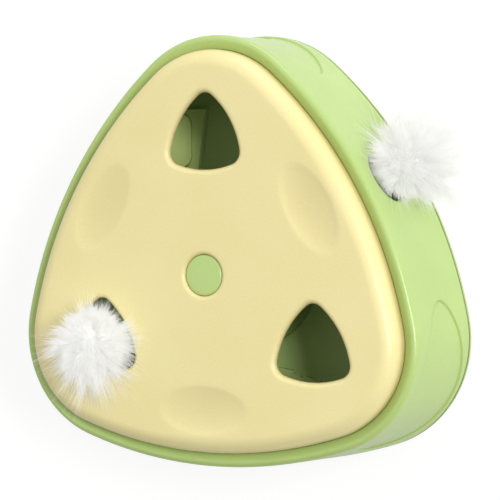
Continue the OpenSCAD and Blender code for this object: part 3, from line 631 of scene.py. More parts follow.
def plastic(name, colour, pale, shade_colour=None, rough=(0.30, 0.40), gloss=0.45, coat=0.0, raised=None):
    """Moulded plastic: flow-marked colour and a fine grain.

    Where the painted shade nears 1 a shaded colour takes over, and near 2 a dark one.
    A painted highlight lightens the tray's raised lid.
    """
    s = Shader(name)
    flow = s.ramp(s.noise(38.0, 2.0), [(0.30, colour), (0.75, pale)])
    speck = s.ramp(s.noise(0.9, 4.0), [(0.35, 0.965), (0.65, 1.0)])
    tone = s.mix(1.0, flow, speck, "MULTIPLY")
    # Painted shade from the shade attribute, mixed into the colour
    if shade_colour:
        shade = s.attribute("shade")
        tone = s.mix(s.limit(shade, 0.0), tone, shade_colour)
        tone = s.mix(s.limit(shade, 1.0), tone, DARK_SHADE_COLOUR)
    # Painted highlight that lightens the tray's raised lid
    if raised:
        tone = s.mix(s.rise(TRAY_Z + LID_RISE - LID_FADE, TRAY_Z + LID_RISE), tone, raised)
    s.link(tone, s.surface.inputs["Base Color"])
    s.link(s.span(s.noise(6.0, 3.0), *rough), s.surface.inputs["Roughness"])
    s.surface.inputs["Specular IOR Level"].default_value = gloss
    s.surface.inputs["Coat Weight"].default_value = coat
    s.surface.inputs["Coat Roughness"].default_value = 0.12
    s.bump(s.noise(0.35, 2.0), 0.03, 0.04)
    return s.material


def steel(name, colour, rough):
    """Drawn steel with fine lines along its length."""
    s = Shader(name)
    lines = s.noise(0.5, 3.0, (1.0, 1.0, 0.15))
    s.link(s.ramp(lines, [(0.3, colour), (0.7, "#d9dcdf")]), s.surface.inputs["Base Color"])
    s.link(s.span(lines, rough, rough + 0.12), s.surface.inputs["Roughness"])
    s.surface.inputs["Metallic"].default_value = 1.0
    s.bump(lines, 0.08, 0.03)
    return s.material


def rubber(name, colour):
    """Dull rubber with a dusty bloom."""
    s = Shader(name)
    bloom = s.noise(3.0, 5.0)
    s.link(s.ramp(bloom, [(0.35, colour), (0.8, "#5a5b57")]), s.surface.inputs["Base Color"])
    s.link(s.span(bloom, 0.75, 0.92), s.surface.inputs["Roughness"])
    s.bump(s.noise(0.5, 2.0), 0.2, 0.1)
    return s.material


def circuit_board(name):
    """Green solder mask over copper tracks."""
    s = Shader(name)
    tracks = s.tree.nodes.new("ShaderNodeTexBrick")
    tracks.inputs["Scale"].default_value = 1/(9.0*MM)
    tracks.inputs["Mortar Size"].default_value = 0.035
    tracks.inputs["Color1"].default_value = linear("#2c6844")
    tracks.inputs["Color2"].default_value = linear("#2f7049")
    tracks.inputs["Mortar"].default_value = linear("#4f9063")
    s.link(s.place, tracks.inputs["Vector"])
    s.link(s.mix(s.noise(2.0), tracks.outputs["Color"], "#255a3a"), s.surface.inputs["Base Color"])
    s.link(s.span(s.noise(1.5), 0.25, 0.4), s.surface.inputs["Roughness"])
    s.bump(tracks.outputs["Fac"], 0.2, 0.05)
    return s.material


def fur_coat(name):
    """White fur: greyer towards the root with painted shade, uneven from lock to lock, with a faint painted
    glow.
    """
    s = Shader(name)
    lock = s.ramp(s.noise(4.0, 3.0), [(0.3, "#f2f2f0"), (0.7, "#fdfdfc")])
    # Painted shade: greyer where the shade attribute is high, towards the roots and the middle
    tone = s.mix(s.attribute("shade"), lock, "#e2e2e0")
    s.link(tone, s.surface.inputs["Base Color"])
    s.link(s.span(s.noise(0.6), 0.62, 0.8), s.surface.inputs["Roughness"])
    s.surface.inputs["Specular IOR Level"].default_value = 0.25
    s.surface.inputs["Sheen Weight"].default_value = 0.25
    # Painted light: a faint glow that stands in for light scattered among the strands
    s.link(tone, s.surface.inputs["Emission Color"])
    s.surface.inputs["Emission Strength"].default_value = 0.32
    s.bump(s.noise(0.4, 3.0, (1.0, 1.0, 3.0)), 0.15, 0.05)
    glow = s.tree.nodes.new("ShaderNodeBsdfTranslucent")
    s.link(tone, glow.inputs["Color"])
    s.wear(s.layer(FUR_GLOW_SHARE, s.surface.outputs["BSDF"], glow.outputs["BSDF"]))
    return s.material


MATERIALS = {
    "case_green": plastic("case_green", "#b5cf7b", "#bcd582", shade_colour="#95af62", rough=(0.28, 0.32), coat=0.3),
    "cover_cream": plastic("cover_cream", "#f4e6a5", "#f6eaad", shade_colour="#d0b87b"),
    "inner_plastic": plastic("inner_plastic", "#8fae5c", "#97b565", rough=(0.4, 0.5)),
    "gear_plastic": plastic("gear_plastic", "#93b160", "#9bb969", rough=(0.42, 0.52)),
    "washer_plastic": plastic("washer_plastic", "#c9b37a", "#d2bf8b", rough=(0.4, 0.5)),
    "black_plastic": plastic("black_plastic", "#2b2d31", "#34363b", rough=(0.4, 0.55)),
    "board": circuit_board("board"),
    "cell_sleeve": plastic("cell_sleeve", "#4f86b8", "#5a90c0", rough=(0.2, 0.3)),
    "steel": steel("steel", "#a9adb2", 0.28),
    "foot_rubber": rubber("foot_rubber", "#3c3d3a"),
    "fur": fur_coat("fur"),
    # Paler tray, with a painted highlight on its raised lid
    "tray_green": plastic("tray_green", "#b9d486", "#c0da8e", rough=(0.38, 0.48), raised="#e6fba0"),
    "button_green": plastic("button_green", "#bed884", "#c4dd8b", shade_colour="#95af62", rough=(0.28, 0.32),
                            coat=0.3),
}


def panel_depth(u, z):
    """How far a point of the wall lies within the edge of its corner's oval panel."""
    depth = np.full(np.shape(u), -CASE.total)
    for i, direction in enumerate(CORNERS):
        across = CASE.at(u, 0)@sideways(direction)
        off = np.abs(np.mod(u - CASE.middle(2*i + 1) + CASE.total/2, CASE.total) - CASE.total/2)
        share = np.maximum(np.hypot(across/(PANEL_L/2), (z - PANEL_Z)/(PANEL_H/2)), 1e-3)
        within_edge = np.hypot(across, z - PANEL_Z)*(1/share - 1)
        depth = np.where(off < CASE.total/6, within_edge, depth)
    return depth


def panel_loop(corner, shrink):
    """Oval edge of a corner panel on the unrolled wall, drawn in by a distance."""
    u = CASE.middle(2*corner + 1) + np.linspace(-PANEL_SEARCH, PANEL_SEARCH, PANEL_SAMPLES)
    across = CASE.at(u, 0)@sideways(CORNERS[corner])
    oval = circle(1.0, PANEL_POINTS)*[PANEL_L/2 - shrink, PANEL_H/2 - shrink]
    order = np.argsort(across)
    return np.stack([np.interp(oval[:, 0], across[order], u[order]), oval[:, 1] + PANEL_Z], -1)


def on_wall(flat, depth):
    """Points of the unrolled wall, [arc length, height], put in place at a depth below its face."""
    return lift(CASE.at(flat[:, 0], wall_inset(flat[:, 1]) + depth), flat[:, 1])


def wall_sink(flat):
    """Depth of the corner panels below the wall."""
    return PANEL_SINK*np.clip(panel_depth(flat[:, 0], flat[:, 1])/PANEL_EDGE, 0, 1)


def panel_shade(flat):
    """Painted shade along the foot of a panel's edge, darker and wider under its upper side."""
    depth = panel_depth(flat[:, 0], flat[:, 1])
    line = np.clip(1 - np.abs(depth - PANEL_EDGE)/PANEL_EDGE, 0, 1)
    under = np.clip((flat[:, 1] - PANEL_Z)/(PANEL_H/2), 0, 1)**0.5
    fade = np.clip(np.minimum(depth/PANEL_EDGE, 1 - (depth - PANEL_EDGE)/(PANEL_FADE*PANEL_EDGE)), 0, 1)
    return PANEL_LINE_SHADE*line + PANEL_UNDER_SHADE*under*fade


def port_ring(width, height, depth):
    """Ring of the charging opening on a flat face at a depth below the apex."""
    loop = stadium(width, height)
    return np.stack([-loop[:, 0], np.full(len(loop), PORT_OUT - depth), PORT_Z + loop[:, 1]], -1)


def port_mouth(width, height):
    """Loop on the unrolled wall that lies straight in front of a slot at the apex."""
    loop = stadium(width, height)
    turn = np.arcsin(loop[:, 0]/(CORNER_RADIUS - wall_inset(PORT_Z + loop[:, 1]) - PANEL_SINK))
    return np.stack([CASE.middle(1) + CORNER_RADIUS*turn, PORT_Z + loop[:, 1]], -1)


def wall_edge(low, high, spacing):
    """Edge of the unrolled wall between two heights. Its two ends meet when it is rolled up."""
    rise = np.linspace(low, high, int((high - low)/spacing) + 1)[1:-1]
    end = WALL_START + CASE.total
    bottom = np.stack([np.append(CASE_U, end), np.full(STATIONS + 1, low)], -1)
    right = np.stack([np.full(len(rise), end), rise], -1)
    top = bottom[::-1].copy()
    top[:, 1] = high
    left = np.stack([np.full(len(rise), WALL_START), rise[::-1]], -1)
    return np.concatenate([bottom, right, top, left])


def shell_outside(skin, side_holes):
    """Drawn wall with its sunken corner panels, open at the side holes and the port."""
    edge = wall_edge(WALL_LOW, WALL_HIGH, WALL_SPACING)
    mouths = [circle(SIDE_HOLE_R + SIDE_HOLE_FLARE) + c for c in side_holes]
    creases = [panel_loop(i, s*PANEL_EDGE) for i in range(len(CORNERS)) for s in PANEL_CREASES]
    flat, faces = fill(edge, [*mouths, port_mouth(PORT_W, PORT_H)], creases, WALL_SPACING)
    skin.add(on_wall(flat, wall_sink(flat)), faces, panel_shade(flat))


def shell_inside(skin, side_holes):
    """Inner face of the wall."""
    edge = wall_edge(SEAM_Z, INNER_HIGH, INNER_SPACING)
    holes = [circle(SIDE_HOLE_R) + c for c in side_holes]
    flat, faces = fill(edge, [*holes, port_mouth(PAD_W, PAD_H)], [], INNER_SPACING)
    skin.add(on_wall(flat, WALL), faces)


def shell_holes(skin, side_holes):
    """Side holes with rounded mouths."""
    for c in side_holes:
        rings = []
        for a in quarter(8)[::-1]:
            loop = circle(SIDE_HOLE_R + SIDE_HOLE_FLARE*(1 - math.cos(a))) + c
            rings.append(on_wall(loop, SIDE_HOLE_FLARE*(1 - math.sin(a))))
        rings.append(on_wall(circle(SIDE_HOLE_R) + c, WALL))
        skin.strip(rings)


def shell_port(skin):
    """Charging opening: a flat dent, the slot in it and the pad behind it."""
    pad = WALL + PORT_PAD
    rings = [on_wall(port_mouth(PORT_W, PORT_H), PANEL_SINK), port_ring(PORT_W, PORT_H, PORT_DENT),
             port_ring(SLOT_W, SLOT_H, PORT_DENT), port_ring(SLOT_W, SLOT_H, PORT_DENT + SLOT_EDGE),
             port_ring(SLOT_W, SLOT_H, pad), port_ring(PAD_W, PAD_H, pad),
             on_wall(port_mouth(PAD_W, PAD_H), WALL)]
    # Painted shade: nearly black down the slot, and the shaded colour on the pad behind it
    skin.strip(rings, [0, 0, 0.3, GAP_SHADE, GAP_SHADE, 1.0, 1.0])


def shell_rim(skin):
    """Rounded rim that dips to the cover, and the ledge that the cover sits on, with painted shade growing
    towards the cover and under the rim.
    """
    start = wall_inset(WALL_HIGH)
    profile = [(start + RIM_ROUND*(1 - math.cos(a)), WALL_HIGH + RIM_ROUND*math.sin(a), 0.0)
               for a in quarter(10)]
    crest = profile[-1][0]
    inner = COVER_INSET - COVER_GAP
    lip = inner - RIM_LIP
    lip_z = RIM_Z - RIM_DIP - RIM_LIP
    for part in RIM_STEPS:
        profile.append((crest + (lip - crest)*part, RIM_Z - RIM_DIP*part**RIM_FALL, RIM_SHADE*part))
    for a in quarter(4)[::-1]:
        profile.append((lip + RIM_LIP*math.cos(a), lip_z + RIM_LIP*math.sin(a), LIP_SHADE))
    ledge = COVER_INSET + LEDGE_W
    profile += [(inner, LEDGE_Z, 1.0), (ledge, LEDGE_Z, 1.0), (ledge, INNER_HIGH, 1.0),
                (WALL + wall_inset(INNER_HIGH), INNER_HIGH, UNDER_SHADE)]
    skin.band(profile)


def shell_seam(skin):
    """Chamfered foot of the wall, the upper half of the seam line, painted nearly black as shade."""
    skin.band([(wall_inset(WALL_LOW), WALL_LOW, 0.0), (SEAM_CHAMFER, SEAM_Z, GAP_SHADE),
               (WALL, SEAM_Z, GAP_SHADE)])


def build_shell():
    skin = Skin()
    side_holes = [np.array([CASE.middle(2*i), SIDE_HOLE_Z]) for i in range(len(SIDES))]
    shell_outside(skin, side_holes)
    shell_inside(skin, side_holes)
    shell_holes(skin, side_holes)
    shell_port(skin)
    shell_rim(skin)
    shell_seam(skin)
    return skin.piece("shell_skin", MATERIALS["case_green"], crease=32)


def dimple_axes(points, direction):
    """Points in the frame of a dimple: along it and across it, where 1 is its edge."""
    out = points@polar(direction, 1.0) - DIMPLE_RING
    along = points@sideways(direction)
    return along/(DIMPLE_L/2), out/(DIMPLE_W/2)


def dimple_depth(points):
    """Depth of the cover's dimples: bowls that run out softly at their edge."""
    depth = np.zeros(len(points))
    for direction in SIDES:
        q = np.hypot(*dimple_axes(points, direction))
        bowl = DIMPLE_DEPTH*np.clip(DIMPLE_END - q*q, 0, 1)
        soft = np.clip((DIMPLE_END - q)/DIMPLE_SOFT, 0, 1)
        depth = np.maximum(depth, bowl*soft*soft*(3 - 2*soft))
    return depth


def dimple_loop(direction, scale):
    """Oval about a dimple's middle, at a scale of its edge."""
    oval = circle(scale, DIMPLE_POINTS)*[DIMPLE_L/2, DIMPLE_W/2]
    return oval[:, :1]*sideways(direction) + (oval[:, 1:] + DIMPLE_RING)*polar(direction, 1.0)


def cover_faces(skin, centres):
    """Top with its dimples, which painted shade darkens by their depth, and the underside, in painted shade.
    """
    edge = CASE.at(CASE_U, COVER_INSET + COVER_ROLL)
    mouths = [HOLE.loop(HOLE_POINTS, -HOLE_FLARE) + c for c in centres]
    creases = [dimple_loop(d, s) for d in SIDES for s in DIMPLE_CREASES]
    flat, faces = fill(edge, [*mouths, circle(BORE_R + BORE_FLARE)], creases, COVER_SPACING)
    sunk = dimple_depth(flat)
    skin.add(lift(flat, COVER_TOP - sunk), faces, DIMPLE_SHADE*sunk/DIMPLE_DEPTH)

    holes = [HOLE.loop(HOLE_POINTS, 0) + c for c in centres]
    flat, faces = fill(edge, [*holes, circle(BORE_R + GUIDE_WALL)], [], UNDER_SPACING)
    skin.add(lift(flat, COVER_UNDER), faces, UNDER_SHADE)


def cover_holes(skin, centres):
    """Paw holes with rounded mouths, darker with painted shade further down."""
    for c in centres:
        rings, shades = [], []
        for a in quarter(12)[::-1]:
            drop = 1 - math.sin(a)
            loop = HOLE.loop(HOLE_POINTS, -HOLE_FLARE*(1 - math.cos(a))) + c
            rings.append(lift(loop, COVER_TOP - HOLE_FLARE*drop))
            shades.append(HOLE_SHADE*drop**1.5)
        rings.append(lift(HOLE.loop(HOLE_POINTS, 0) + c, COVER_UNDER))
        skin.strip(rings, [*shades, HOLE_FOOT_SHADE])


def cover_bore(skin):
    """The button's bore with its rounded mouth, and the guide below it, with painted shade down the mouth and
    on the guide.
    """
    angles = quarter(10)[::-1]
    profile = [(BORE_R + BORE_FLARE*(1 - math.cos(a)), COVER_TOP - BORE_FLARE*(1 - math.sin(a)))
               for a in angles]
    shades = [BORE_SHADE*(1 - math.sin(a))**1.5 for a in angles]
    foot = COVER_UNDER - GUIDE_H
    profile += [(BORE_R, foot), (BORE_R + GUIDE_WALL, foot), (BORE_R + GUIDE_WALL, COVER_UNDER)]
    skin.strip(revolve(profile), [*shades, 1.0, 1.0, 1.0])


def cover_roll(skin):
    """Rolled edge of the cover, outside and inside, with painted shade towards its foot and inside."""
    profile = []
    for a in quarter(18)[::-1]:
        drop = 1 - math.sin(a)
        inset = COVER_INSET + COVER_ROLL*(1 - math.cos(a))
        profile.append((inset, COVER_TOP - COVER_ROLL*drop, ROLL_SHADE*drop**3))
    foot = LEDGE_Z + SEAT_GAP
    profile += [(COVER_INSET, foot, 1.0), (COVER_INSET + COVER_T, foot, 1.0)]
    reach = COVER_ROLL - COVER_T
    for a in quarter(8):
        inset = COVER_INSET + COVER_ROLL - reach*math.cos(a)
        profile.append((inset, COVER_TOP - COVER_ROLL + reach*math.sin(a), UNDER_SHADE))
    skin.band(profile)


def build_cover():
    skin = Skin()
    centres = [polar(d, HOLE_RING) for d in CORNERS]
    cover_faces(skin, centres)
    cover_holes(skin, centres)
    cover_bore(skin)
    cover_roll(skin)
    return skin.piece("cover_skin", MATERIALS["cover_cream"], crease=40)


def back_pocket(skin, loop, depth, spacing):
    """Round pocket in the underside of the back, darkened inside with painted shade."""
    skin.strip([lift(loop, BACK_Z), lift(loop, BACK_Z + depth)], [0.3, 1.0])
    flat, faces = fill(loop, [], [], spacing)
    skin.add(lift(flat, BACK_Z + depth), faces, 1.0)


def build_back():
    """Back with pockets for its feet and screws, and the lower half of the seam line, which painted shade
    darkens.
    """
    skin = Skin()
    foot_r = FOOT_D/2 + SEAT_GAP
    screw_r = SCREW_RECESS_D/2
    feet = [circle(foot_r) + polar(d, FOOT_RING) for d in CORNERS]
    screws = [circle(screw_r, SMALL_RING) + polar(d, SCREW_RING) for d in CORNERS]
    flat, faces = fill(CASE.at(CASE_U, BACK_ROUND), [*feet, *screws], [], BACK_SPACING)
    skin.add(lift(flat, BACK_Z), faces)
    for loop in feet:
        back_pocket(skin, loop, FOOT_POCKET, foot_r)
    for loop in screws:
        back_pocket(skin, loop, SCREW_RECESS, screw_r)
    profile = [(BACK_ROUND*(1 - math.cos(a)), BACK_Z + BACK_ROUND*(1 - math.sin(a)), 0.0)
               for a in quarter(10)[::-1]]
    seam = FLOOR_Z - SEAM_CHAMFER
    profile += [(0.0, seam, 0.0), (SEAM_BLEND, seam + SEAM_BLEND, 1.3), (SEAM_CHAMFER, FLOOR_Z, 1.8)]
    skin.band(profile)
    flat, faces = fill(CASE.at(CASE_U, SEAM_CHAMFER), [], [], FLOOR_SPACING)
    skin.add(lift(flat, FLOOR_Z), faces, GAP_SHADE)
    return skin.piece("back_skin", MATERIALS["case_green"], crease=34)


def build_button():
    """Button with a slightly crowned face, its skirt and its flange."""
    skin = Skin()
    low, high = (v.z/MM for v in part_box("power_button"))
    flange_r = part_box("power_button")[1].x/MM
    flange = COVER_UNDER - GUIDE_H - SEAT_GAP
    under = flange - FLANGE_T
    skirt_r = BUTTON_R - BUTTON_WALL
    roof = high - BUTTON_ROOF
    face_r = BUTTON_R - BUTTON_EDGE
    top = high - BUTTON_CROWN
    face = [(face_r*s, high - BUTTON_CROWN*s*s) for s in BUTTON_STEPS]
    edge = [(face_r + BUTTON_EDGE*math.cos(a), top - BUTTON_EDGE*(1 - math.sin(a))) for a in quarter(8)[::-1]]
    below = [(BUTTON_R, flange), (flange_r, flange), (flange_r, under), (skirt_r, under),
             (skirt_r, roof), (NIB_R, roof), (NIB_R, low), (face[0][0], low)]
    rings = revolve(face + edge + below)
    # Painted shade below the rounded edge of the face, on the flange and in the skirt
    skin.strip(rings, [0.0]*(len(face) + len(edge) - 1) + [0.5] + [0.9]*len(below))
    for ring in (rings[0], rings[-1]):
        skin.add(ring, [list(range(len(ring)))])
    return skin.piece("button_skin", MATERIALS["button_green"], crease=40)


def coil(turns, length, mean_d, wire, sides=10, rings_per_turn=26):
    """Spring along +Z with closed ends: points and faces, from z = 0."""
    last = turns*rings_per_turn
    t = np.arange(last + 1)/rings_per_turn*2*math.pi
    rise = wire/2 + (length - wire)*np.arange(last + 1)/last
    points, faces = [], []
    for s in range(sides):
        b = 2*math.pi*s/sides
        r = mean_d/2 + wire/2*math.cos(b)
        points.append(np.stack([r*np.cos(t), r*np.sin(t), rise + wire/2*math.sin(b)], -1))
    points = np.stack(points, 1).reshape(-1, 3)
    for i in range(last):
        for s in range(sides):
            a, b = i*sides + s, i*sides + (s + 1) % sides
            faces.append([a, b, b + sides, a + sides])
    faces.append(list(range(sides))[::-1])
    faces.append([last*sides + s for s in range(sides)])
    return points, faces


def rotor_rotation():
    """Rotation from the X axis to the rotor's axis."""
    return np.array(Matrix.Rotation(math.radians(ROTOR_AXIS), 3, "Z"))


def build_lift_springs():
    low, high = (v.z/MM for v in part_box("lift_springs"))
    skin = Skin()
    for side in (-POST_SIDE, POST_SIDE):
        points, faces = coil(SPRING_TURNS, high - low, LIFT_SPRING_D, WIRE_D)
        skin.add((points + [-POST_RING, side, low])@rotor_rotation().T, faces)
    lift_coils = skin.piece("lift_coils", MATERIALS["steel"], crease=60)
    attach(lift_coils, "rotor")
    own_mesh(lift_coils)
    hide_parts("lift_springs")
    return lift_coils


def build_side_springs():
    lay = np.array(Matrix.Rotation(math.radians(90), 3, "Y"))
    length = BAR_RING - LUG_FAR
    skin = Skin()
    for side in (-ROD_SIDE, ROD_SIDE):
        points, faces = coil(SPRING_TURNS, length, SIDE_SPRING_D, WIRE_D)
        skin.add((points@lay.T + [LUG_FAR, side, SIDE_HOLE_Z])@rotor_rotation().T, faces)
    side_coils = skin.piece("side_coils", MATERIALS["steel"], crease=60)
    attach(side_coils, "rotor")
    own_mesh(side_coils)
    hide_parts("side_springs")
    return side_coils


def build_button_spring():
    low, high = (v.z/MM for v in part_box("button_spring"))
    skin = Skin()
    points, faces = coil(BUTTON_SPRING_TURNS, high - low, BUTTON_SPRING_D, BUTTON_SPRING_WIRE)
    skin.add(points + [0, 0, low], faces)
    button_coil = skin.piece("button_coil", MATERIALS["steel"], crease=60)
    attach(button_coil, "housing")
    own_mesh(button_coil)
    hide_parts("button_spring")
    return button_coil


def build_springs():
    """The lift's, the plunger's and the button's springs, each set one piece."""
    for piece in (build_lift_springs(), build_side_springs(), build_button_spring()):
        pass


def sphere_directions(count):
    """Directions spread evenly over a sphere."""
    i = np.arange(count) + 0.5
    z = 1 - 2*i/count
    a = i*math.pi*(3 - math.sqrt(5))
    r = np.sqrt(1 - z*z)
    return np.stack([r*np.cos(a), r*np.sin(a), z], -1)


def unit(vectors, least=0.0):
    """Vectors scaled to length 1."""
    return vectors/(np.linalg.norm(vectors, axis=-1, keepdims=True) + least)


def soft_stop(values, start, stop):
    """Values past start, eased so that they stay short of stop."""
    room = stop - start
    past = np.maximum(values - start, 0)
    return np.minimum(values, start) + room*(1 - np.exp(-past/room))


def grow_locks(rng):
    """Locks that the strands bunch into: their directions, lengths and bends."""
    locks = unit(sphere_directions(FUR_LOCKS) + rng.normal(0, LOCK_SCATTER, (FUR_LOCKS, 3)))
    lengths = rng.uniform(*LOCK_LENGTHS, FUR_LOCKS)
    bends = rng.normal(0, LOCK_BEND, (FUR_LOCKS, 3))
    return locks, lengths, bends


def grow_strands(rng, centre, part, lean, scale):
    """Lines of the strands, and the directions of their locks.

    The strands part from a direction, are longer towards lean and bend to it, and hang a little.
    """
    directions = sphere_directions(FUR_STRANDS)
    directions = unit(directions + rng.normal(0, STRAND_SCATTER, directions.shape))
    locks, lock_length, lock_bend = grow_locks(rng)
    nearest = (directions@locks.T).argmax(1)

    length = scale*FUR_LENGTH*lock_length[nearest]*rng.uniform(*STRAND_LENGTHS, FUR_STRANDS)
    length *= 1 + directions@lean
    wisps = rng.random(FUR_STRANDS) < WISP_SHARE
    length[wisps] *= rng.uniform(*WISP_LENGTHS, wisps.sum())
    root = centre + directions*BALL_CORE*rng.uniform(*ROOT_DEPTHS, FUR_STRANDS)[:, None]
    heading = directions*(1 - LOCK_HOLD) + locks[nearest]*LOCK_HOLD
    heading = unit(heading + PARTING*(heading - part*(heading@part)[:, None]))
    bend = LEAN_BEND*lean + [0, 0, -SAG] + lock_bend[nearest] + rng.normal(0, STRAND_BEND, (FUR_STRANDS, 3))

    t = np.linspace(0, 1, FUR_POINTS)
    line = (root[:, None] + heading[:, None]*(length[:, None]*t)[..., None]
            + bend[:, None]*(length[:, None]*t**2)[..., None])
    tips = centre + locks*(BALL_CORE + FUR_LENGTH*(1 + locks@lean)*lock_length)[:, None]
    pull = LOCK_PULL*(t**2)[None, :, None]*(~wisps)[:, None, None]
    return line + (tips[nearest][:, None] + bend[:, None]*FUR_LENGTH - line)*pull, locks


def hold_strands(line, centre, heights):
    """Strands kept near the case's box, between two heights and off the lift's posts."""
    held = line.copy()
    edge = cad_box[1][0]/MM + FUR_PROUD
    held[..., 0] = soft_stop(held[..., 0], edge - FUR_PROUD/2, edge)
    held[..., 2] = soft_stop(held[..., 2], heights[1] - FUR_YIELD, heights[1])
    held[..., 2] = -soft_stop(-held[..., 2], -heights[0] - FUR_YIELD, -heights[0])
    away = np.array([centre[0], centre[1], 0])/math.hypot(centre[0], centre[1])
    reach = held@away
    return held - (soft_stop(-reach, -POST_REACH - FUR_YIELD, -POST_REACH) + reach)[..., None]*away


def push_out(offsets, axis, face, throat):
    """Shift that lays points about a tuft's centre on the face round its hole, or lets them sink in it."""
    above = offsets@axis
    lateral = np.linalg.norm(offsets - above[..., None]*axis, axis=-1)
    rest = face - TUFT_SINK*np.clip((throat - lateral)/throat, 0, 1)**0.5
    return np.maximum(rest - above, 0)[..., None]*axis


def strand_mesh(rng, line):
    """Thin tapering strands along their lines: points, faces and painted shade."""
    t = np.linspace(0, 1, FUR_POINTS)
    along = unit(np.gradient(line, axis=1), LEAST_LENGTH)
    side = unit(np.cross(along, rng.normal(0, 1, (FUR_STRANDS, 1, 3))), LEAST_LENGTH)
    other = np.cross(along, side)
    width = FUR_THICKNESS*rng.uniform(*STRAND_WIDTHS, (FUR_STRANDS, 1))*(1 - t[None]**1.6*STRAND_TAPER)
    corners = []
    for s in range(FUR_SIDES):
        a = 2*math.pi*s/FUR_SIDES
        corners.append(line + width[..., None]*(side*math.cos(a) + other*math.sin(a)))
    points = np.stack(corners, 2).reshape(-1, 3)
    index = np.arange(len(points)).reshape(FUR_STRANDS, FUR_POINTS, FUR_SIDES)
    quads = []
    for s in range(FUR_SIDES):
        k = (s + 1) % FUR_SIDES
        quad = np.stack([index[:, :-1, s], index[:, :-1, k], index[:, 1:, k], index[:, 1:, s]], -1)
        quads.append(quad.reshape(-1, 4))
    faces = np.concatenate(quads).tolist() + index[:, 0, ::-1].tolist() + index[:, -1].tolist()
    # Painted shade, darkest at the root and gone at the tip
    shade = np.repeat(np.tile((1 - t)**1.5*ROOT_SHADE, FUR_STRANDS), FUR_SIDES)
    return points, faces, shade


def ball_points(rows, columns):
    """Points of a unit ball, row by row from its top to its foot."""
    points = [[0, 0, 1.0]]
    for i in range(1, rows):
        p = math.pi*i/rows
        for j in range(columns):
            a = 2*math.pi*j/columns
            points.append([math.sin(p)*math.cos(a), math.sin(p)*math.sin(a), math.cos(p)])
    points.append([0, 0, -1.0])
    return np.array(points)


def lumpy_core(locks, rows=36, columns=72):
    """Dense middle of a tuft: a closed ball whose surface swells under each lock."""
    ball = ball_points(rows, columns)
    swell = (ball@locks.T).max(1)
    ball = ball*(BALL_CORE*(CORE_SHARE + CORE_SWELL*swell**6))[:, None]
    faces = [[0, 1 + j, 1 + (j + 1) % columns] for j in range(columns)]
    for i in range(rows - 2):
        for j in range(columns):
            a, b = 1 + i*columns + j, 1 + i*columns + (j + 1) % columns
            faces.append([a, a + columns, b + columns, b])
    last = len(ball) - 1
    foot = last - columns
    faces += [[foot + (j + 1) % columns, foot + j, last] for j in range(columns)]
    return ball, faces


def build_fur(name, centre, axis, part, lean, face, throat, heights, scale, seed):
    """Tuft of fur round a centre: thin bent strands in locks, and a lumpy middle."""
    rng = np.random.default_rng(seed)
    axis = np.array(axis, float)
    line, locks = grow_strands(rng, centre, unit(np.array(part, float)), np.array(lean, float), scale)
    line = hold_strands(line, centre, heights)
    line = line + push_out(line - centre, axis, face + STRAND_LIFT, throat)
    points, faces, shade = strand_mesh(rng, line)

    core, core_faces = lumpy_core(locks)
    core = core + push_out(core, axis, face + CORE_LIFT, throat) + centre
    faces += [[i + len(points) for i in f] for f in core_faces]
    # Painted shade over the dense middle
    shade = np.concatenate([shade, np.full(len(core), CORE_SHADE)])
    return make_piece(name, np.concatenate([points, core]), faces, MATERIALS["fur"], 180, shade)


def build_fur_balls():
    low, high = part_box("top_fur_ball")
    radius = (high.x - low.x)/2/MM
    centre = np.array([(low.x + high.x)/2, (low.y + high.y)/2, high.z])/MM - [0, 0, radius]
    top = build_fur("top_fur", centre, (0, 0, 1), part=(0.65, 0.04, 0.76), lean=(0.0, -0.30, -0.30),
                    face=COVER_TOP - centre[2], throat=HOLE_REACH,
                    heights=(COVER_TOP, cad_box[1][2]/MM + FUR_RISE), scale=1.0, seed=11)
    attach(top, "lift")
    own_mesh(top)
    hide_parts("top_fur_ball")

    low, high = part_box("side_fur_ball")
    out = np.append(polar(ROTOR_AXIS, 1.0), 0.0)
    centre = out*((high.x/MM - radius)/out[0]) + [0, 0, SIDE_HOLE_Z]
    side = build_fur("side_fur", centre, out, part=(-0.22, -0.30, 0.93), lean=(0.30, 0.26, -0.18),
                     face=SIDE_OUT - (centre@out), throat=SIDE_HOLE_R,
                     heights=SIDE_FUR_HEIGHTS, scale=1.2, seed=23)
    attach(side, "side_plunger")
    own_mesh(side)
    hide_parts("side_fur_ball")


def dress_frame():
    """Gives each CAD node the material of its slot. The tray has its own paler material, with a painted
    highlight on its raised lid.
    """
    slots = {p["node"]: p["material_slot"] for p in frame["record"]["subparts"]}
    for name, node in frame["nodes"].items():
        node.data.materials.clear()
        node.data.materials.append(MATERIALS["tray_green" if name == "inner_tray" else slots[name]])


def build_case():
    for piece, body, node, slot in ((build_shell(), "housing", "main_shell", "case_green"),
                                    (build_cover(), "housing", "top_cover", "cover_cream"),
                                    (build_back(), "housing", "back_cover", "case_green"),
                                    (build_button(), "button", "power_button", "case_green")):
        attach(piece, body)
        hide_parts(node)


def floor_paint():
    """Pale paint that stays white to the camera and keeps a soft shadow."""
    s = Shader("floor")
    s.link(s.ramp(s.noise(60.0, 2.0), [(0.3, "#f4f4f3"), (0.7, "#f7f7f6")]), s.surface.inputs["Base Color"])
    s.surface.inputs["Roughness"].default_value = 0.9
    s.surface.inputs["Specular IOR Level"].default_value = 0.1
    path = s.tree.nodes.new("ShaderNodeLightPath")
    glow = s.tree.nodes.new("ShaderNodeEmission")
    glow.inputs["Color"].default_value = (1, 1, 1, 1)
    glow.inputs["Strength"].default_value = FLOOR_GLOW
    plain = s.surface.outputs["BSDF"]
    lit = s.layer(FLOOR_GLOW_SHARE, plain, glow.outputs["Emission"])
    s.wear(s.layer(path.outputs["Is Camera Ray"], plain, lit))
    return s.material


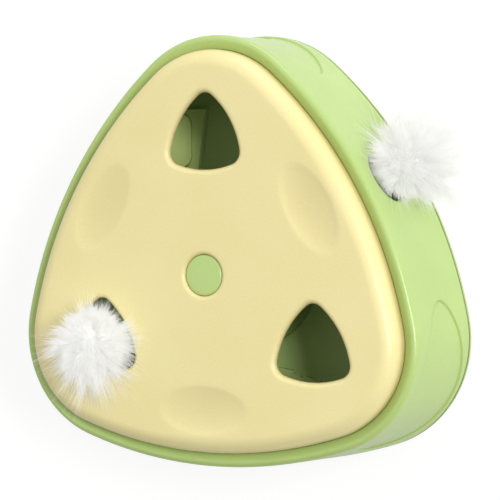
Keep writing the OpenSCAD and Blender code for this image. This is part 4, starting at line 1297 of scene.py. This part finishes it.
def build_floor():
    corners = [(x*FLOOR_HALF, y*FLOOR_HALF, 0) for x, y in ((-1, -1), (1, -1), (1, 1), (-1, 1))]
    floor_mesh = bpy.data.meshes.new("floor")
    floor_mesh.from_pydata(corners, [], [(0, 1, 2, 3)])
    floor_mesh.materials.append(floor_paint())
    floor = bpy.data.objects.new("floor", floor_mesh)
    bpy.context.scene.collection.objects.link(floor)


def build_sky():
    """Light from all round, bright towards the apex and fading to the opposite side."""
    world = bpy.data.worlds.new("studio")
    world.use_nodes = True
    tree = world.node_tree
    light = tree.nodes["Background"].inputs
    light["Color"].default_value = (1, 1, 1, 1)
    split = tree.nodes.new("ShaderNodeSeparateXYZ")
    tree.links.new(tree.nodes.new("ShaderNodeTexCoord").outputs["Generated"], split.inputs[0])
    tree.links.new(remap(tree, split.outputs["Y"], *SKY_SPAN, SKY_BELOW, SKY_ABOVE), light["Strength"])
    bpy.context.scene.world = world


def build_lamps():
    """Soft key from the apex, a front lamp, and a narrow strip for a highlight along the rolled edges."""
    aim = Vector(LAMP_AIM)
    for name, place, width, height, power in LAMPS:
        lamp = bpy.data.lights.new(name, "AREA")
        lamp.shape = "RECTANGLE"
        lamp.size = width
        lamp.size_y = height
        lamp.energy = power
        holder = bpy.data.objects.new(name, lamp)
        holder.location = place
        holder.rotation_euler = (aim - Vector(place)).to_track_quat("-Z", "Y").to_euler()
        bpy.context.scene.collection.objects.link(holder)


def build_camera():
    """Camera at the photograph's viewing angle: above the cover, turned towards the side ball."""
    right = Vector(EYE_RIGHT)
    up = Vector(EYE_UP)
    camera = bpy.data.cameras.new("camera")
    camera.lens = LENS
    camera.sensor_width = SENSOR
    camera.clip_start = CLIP_START
    holder = bpy.data.objects.new("camera", camera)
    turn = Matrix((right, up, right.cross(up))).transposed()
    holder.matrix_world = Matrix.Translation(Vector(EYE)*MM)@turn.to_4x4()
    bpy.context.scene.collection.objects.link(holder)
    bpy.context.scene.camera = holder


build_camera()
build_floor()
build_sky()
build_lamps()
dress_frame()
build_case()
build_springs()
build_fur_balls()
bpy.context.scene.view_settings.view_transform = "Standard"
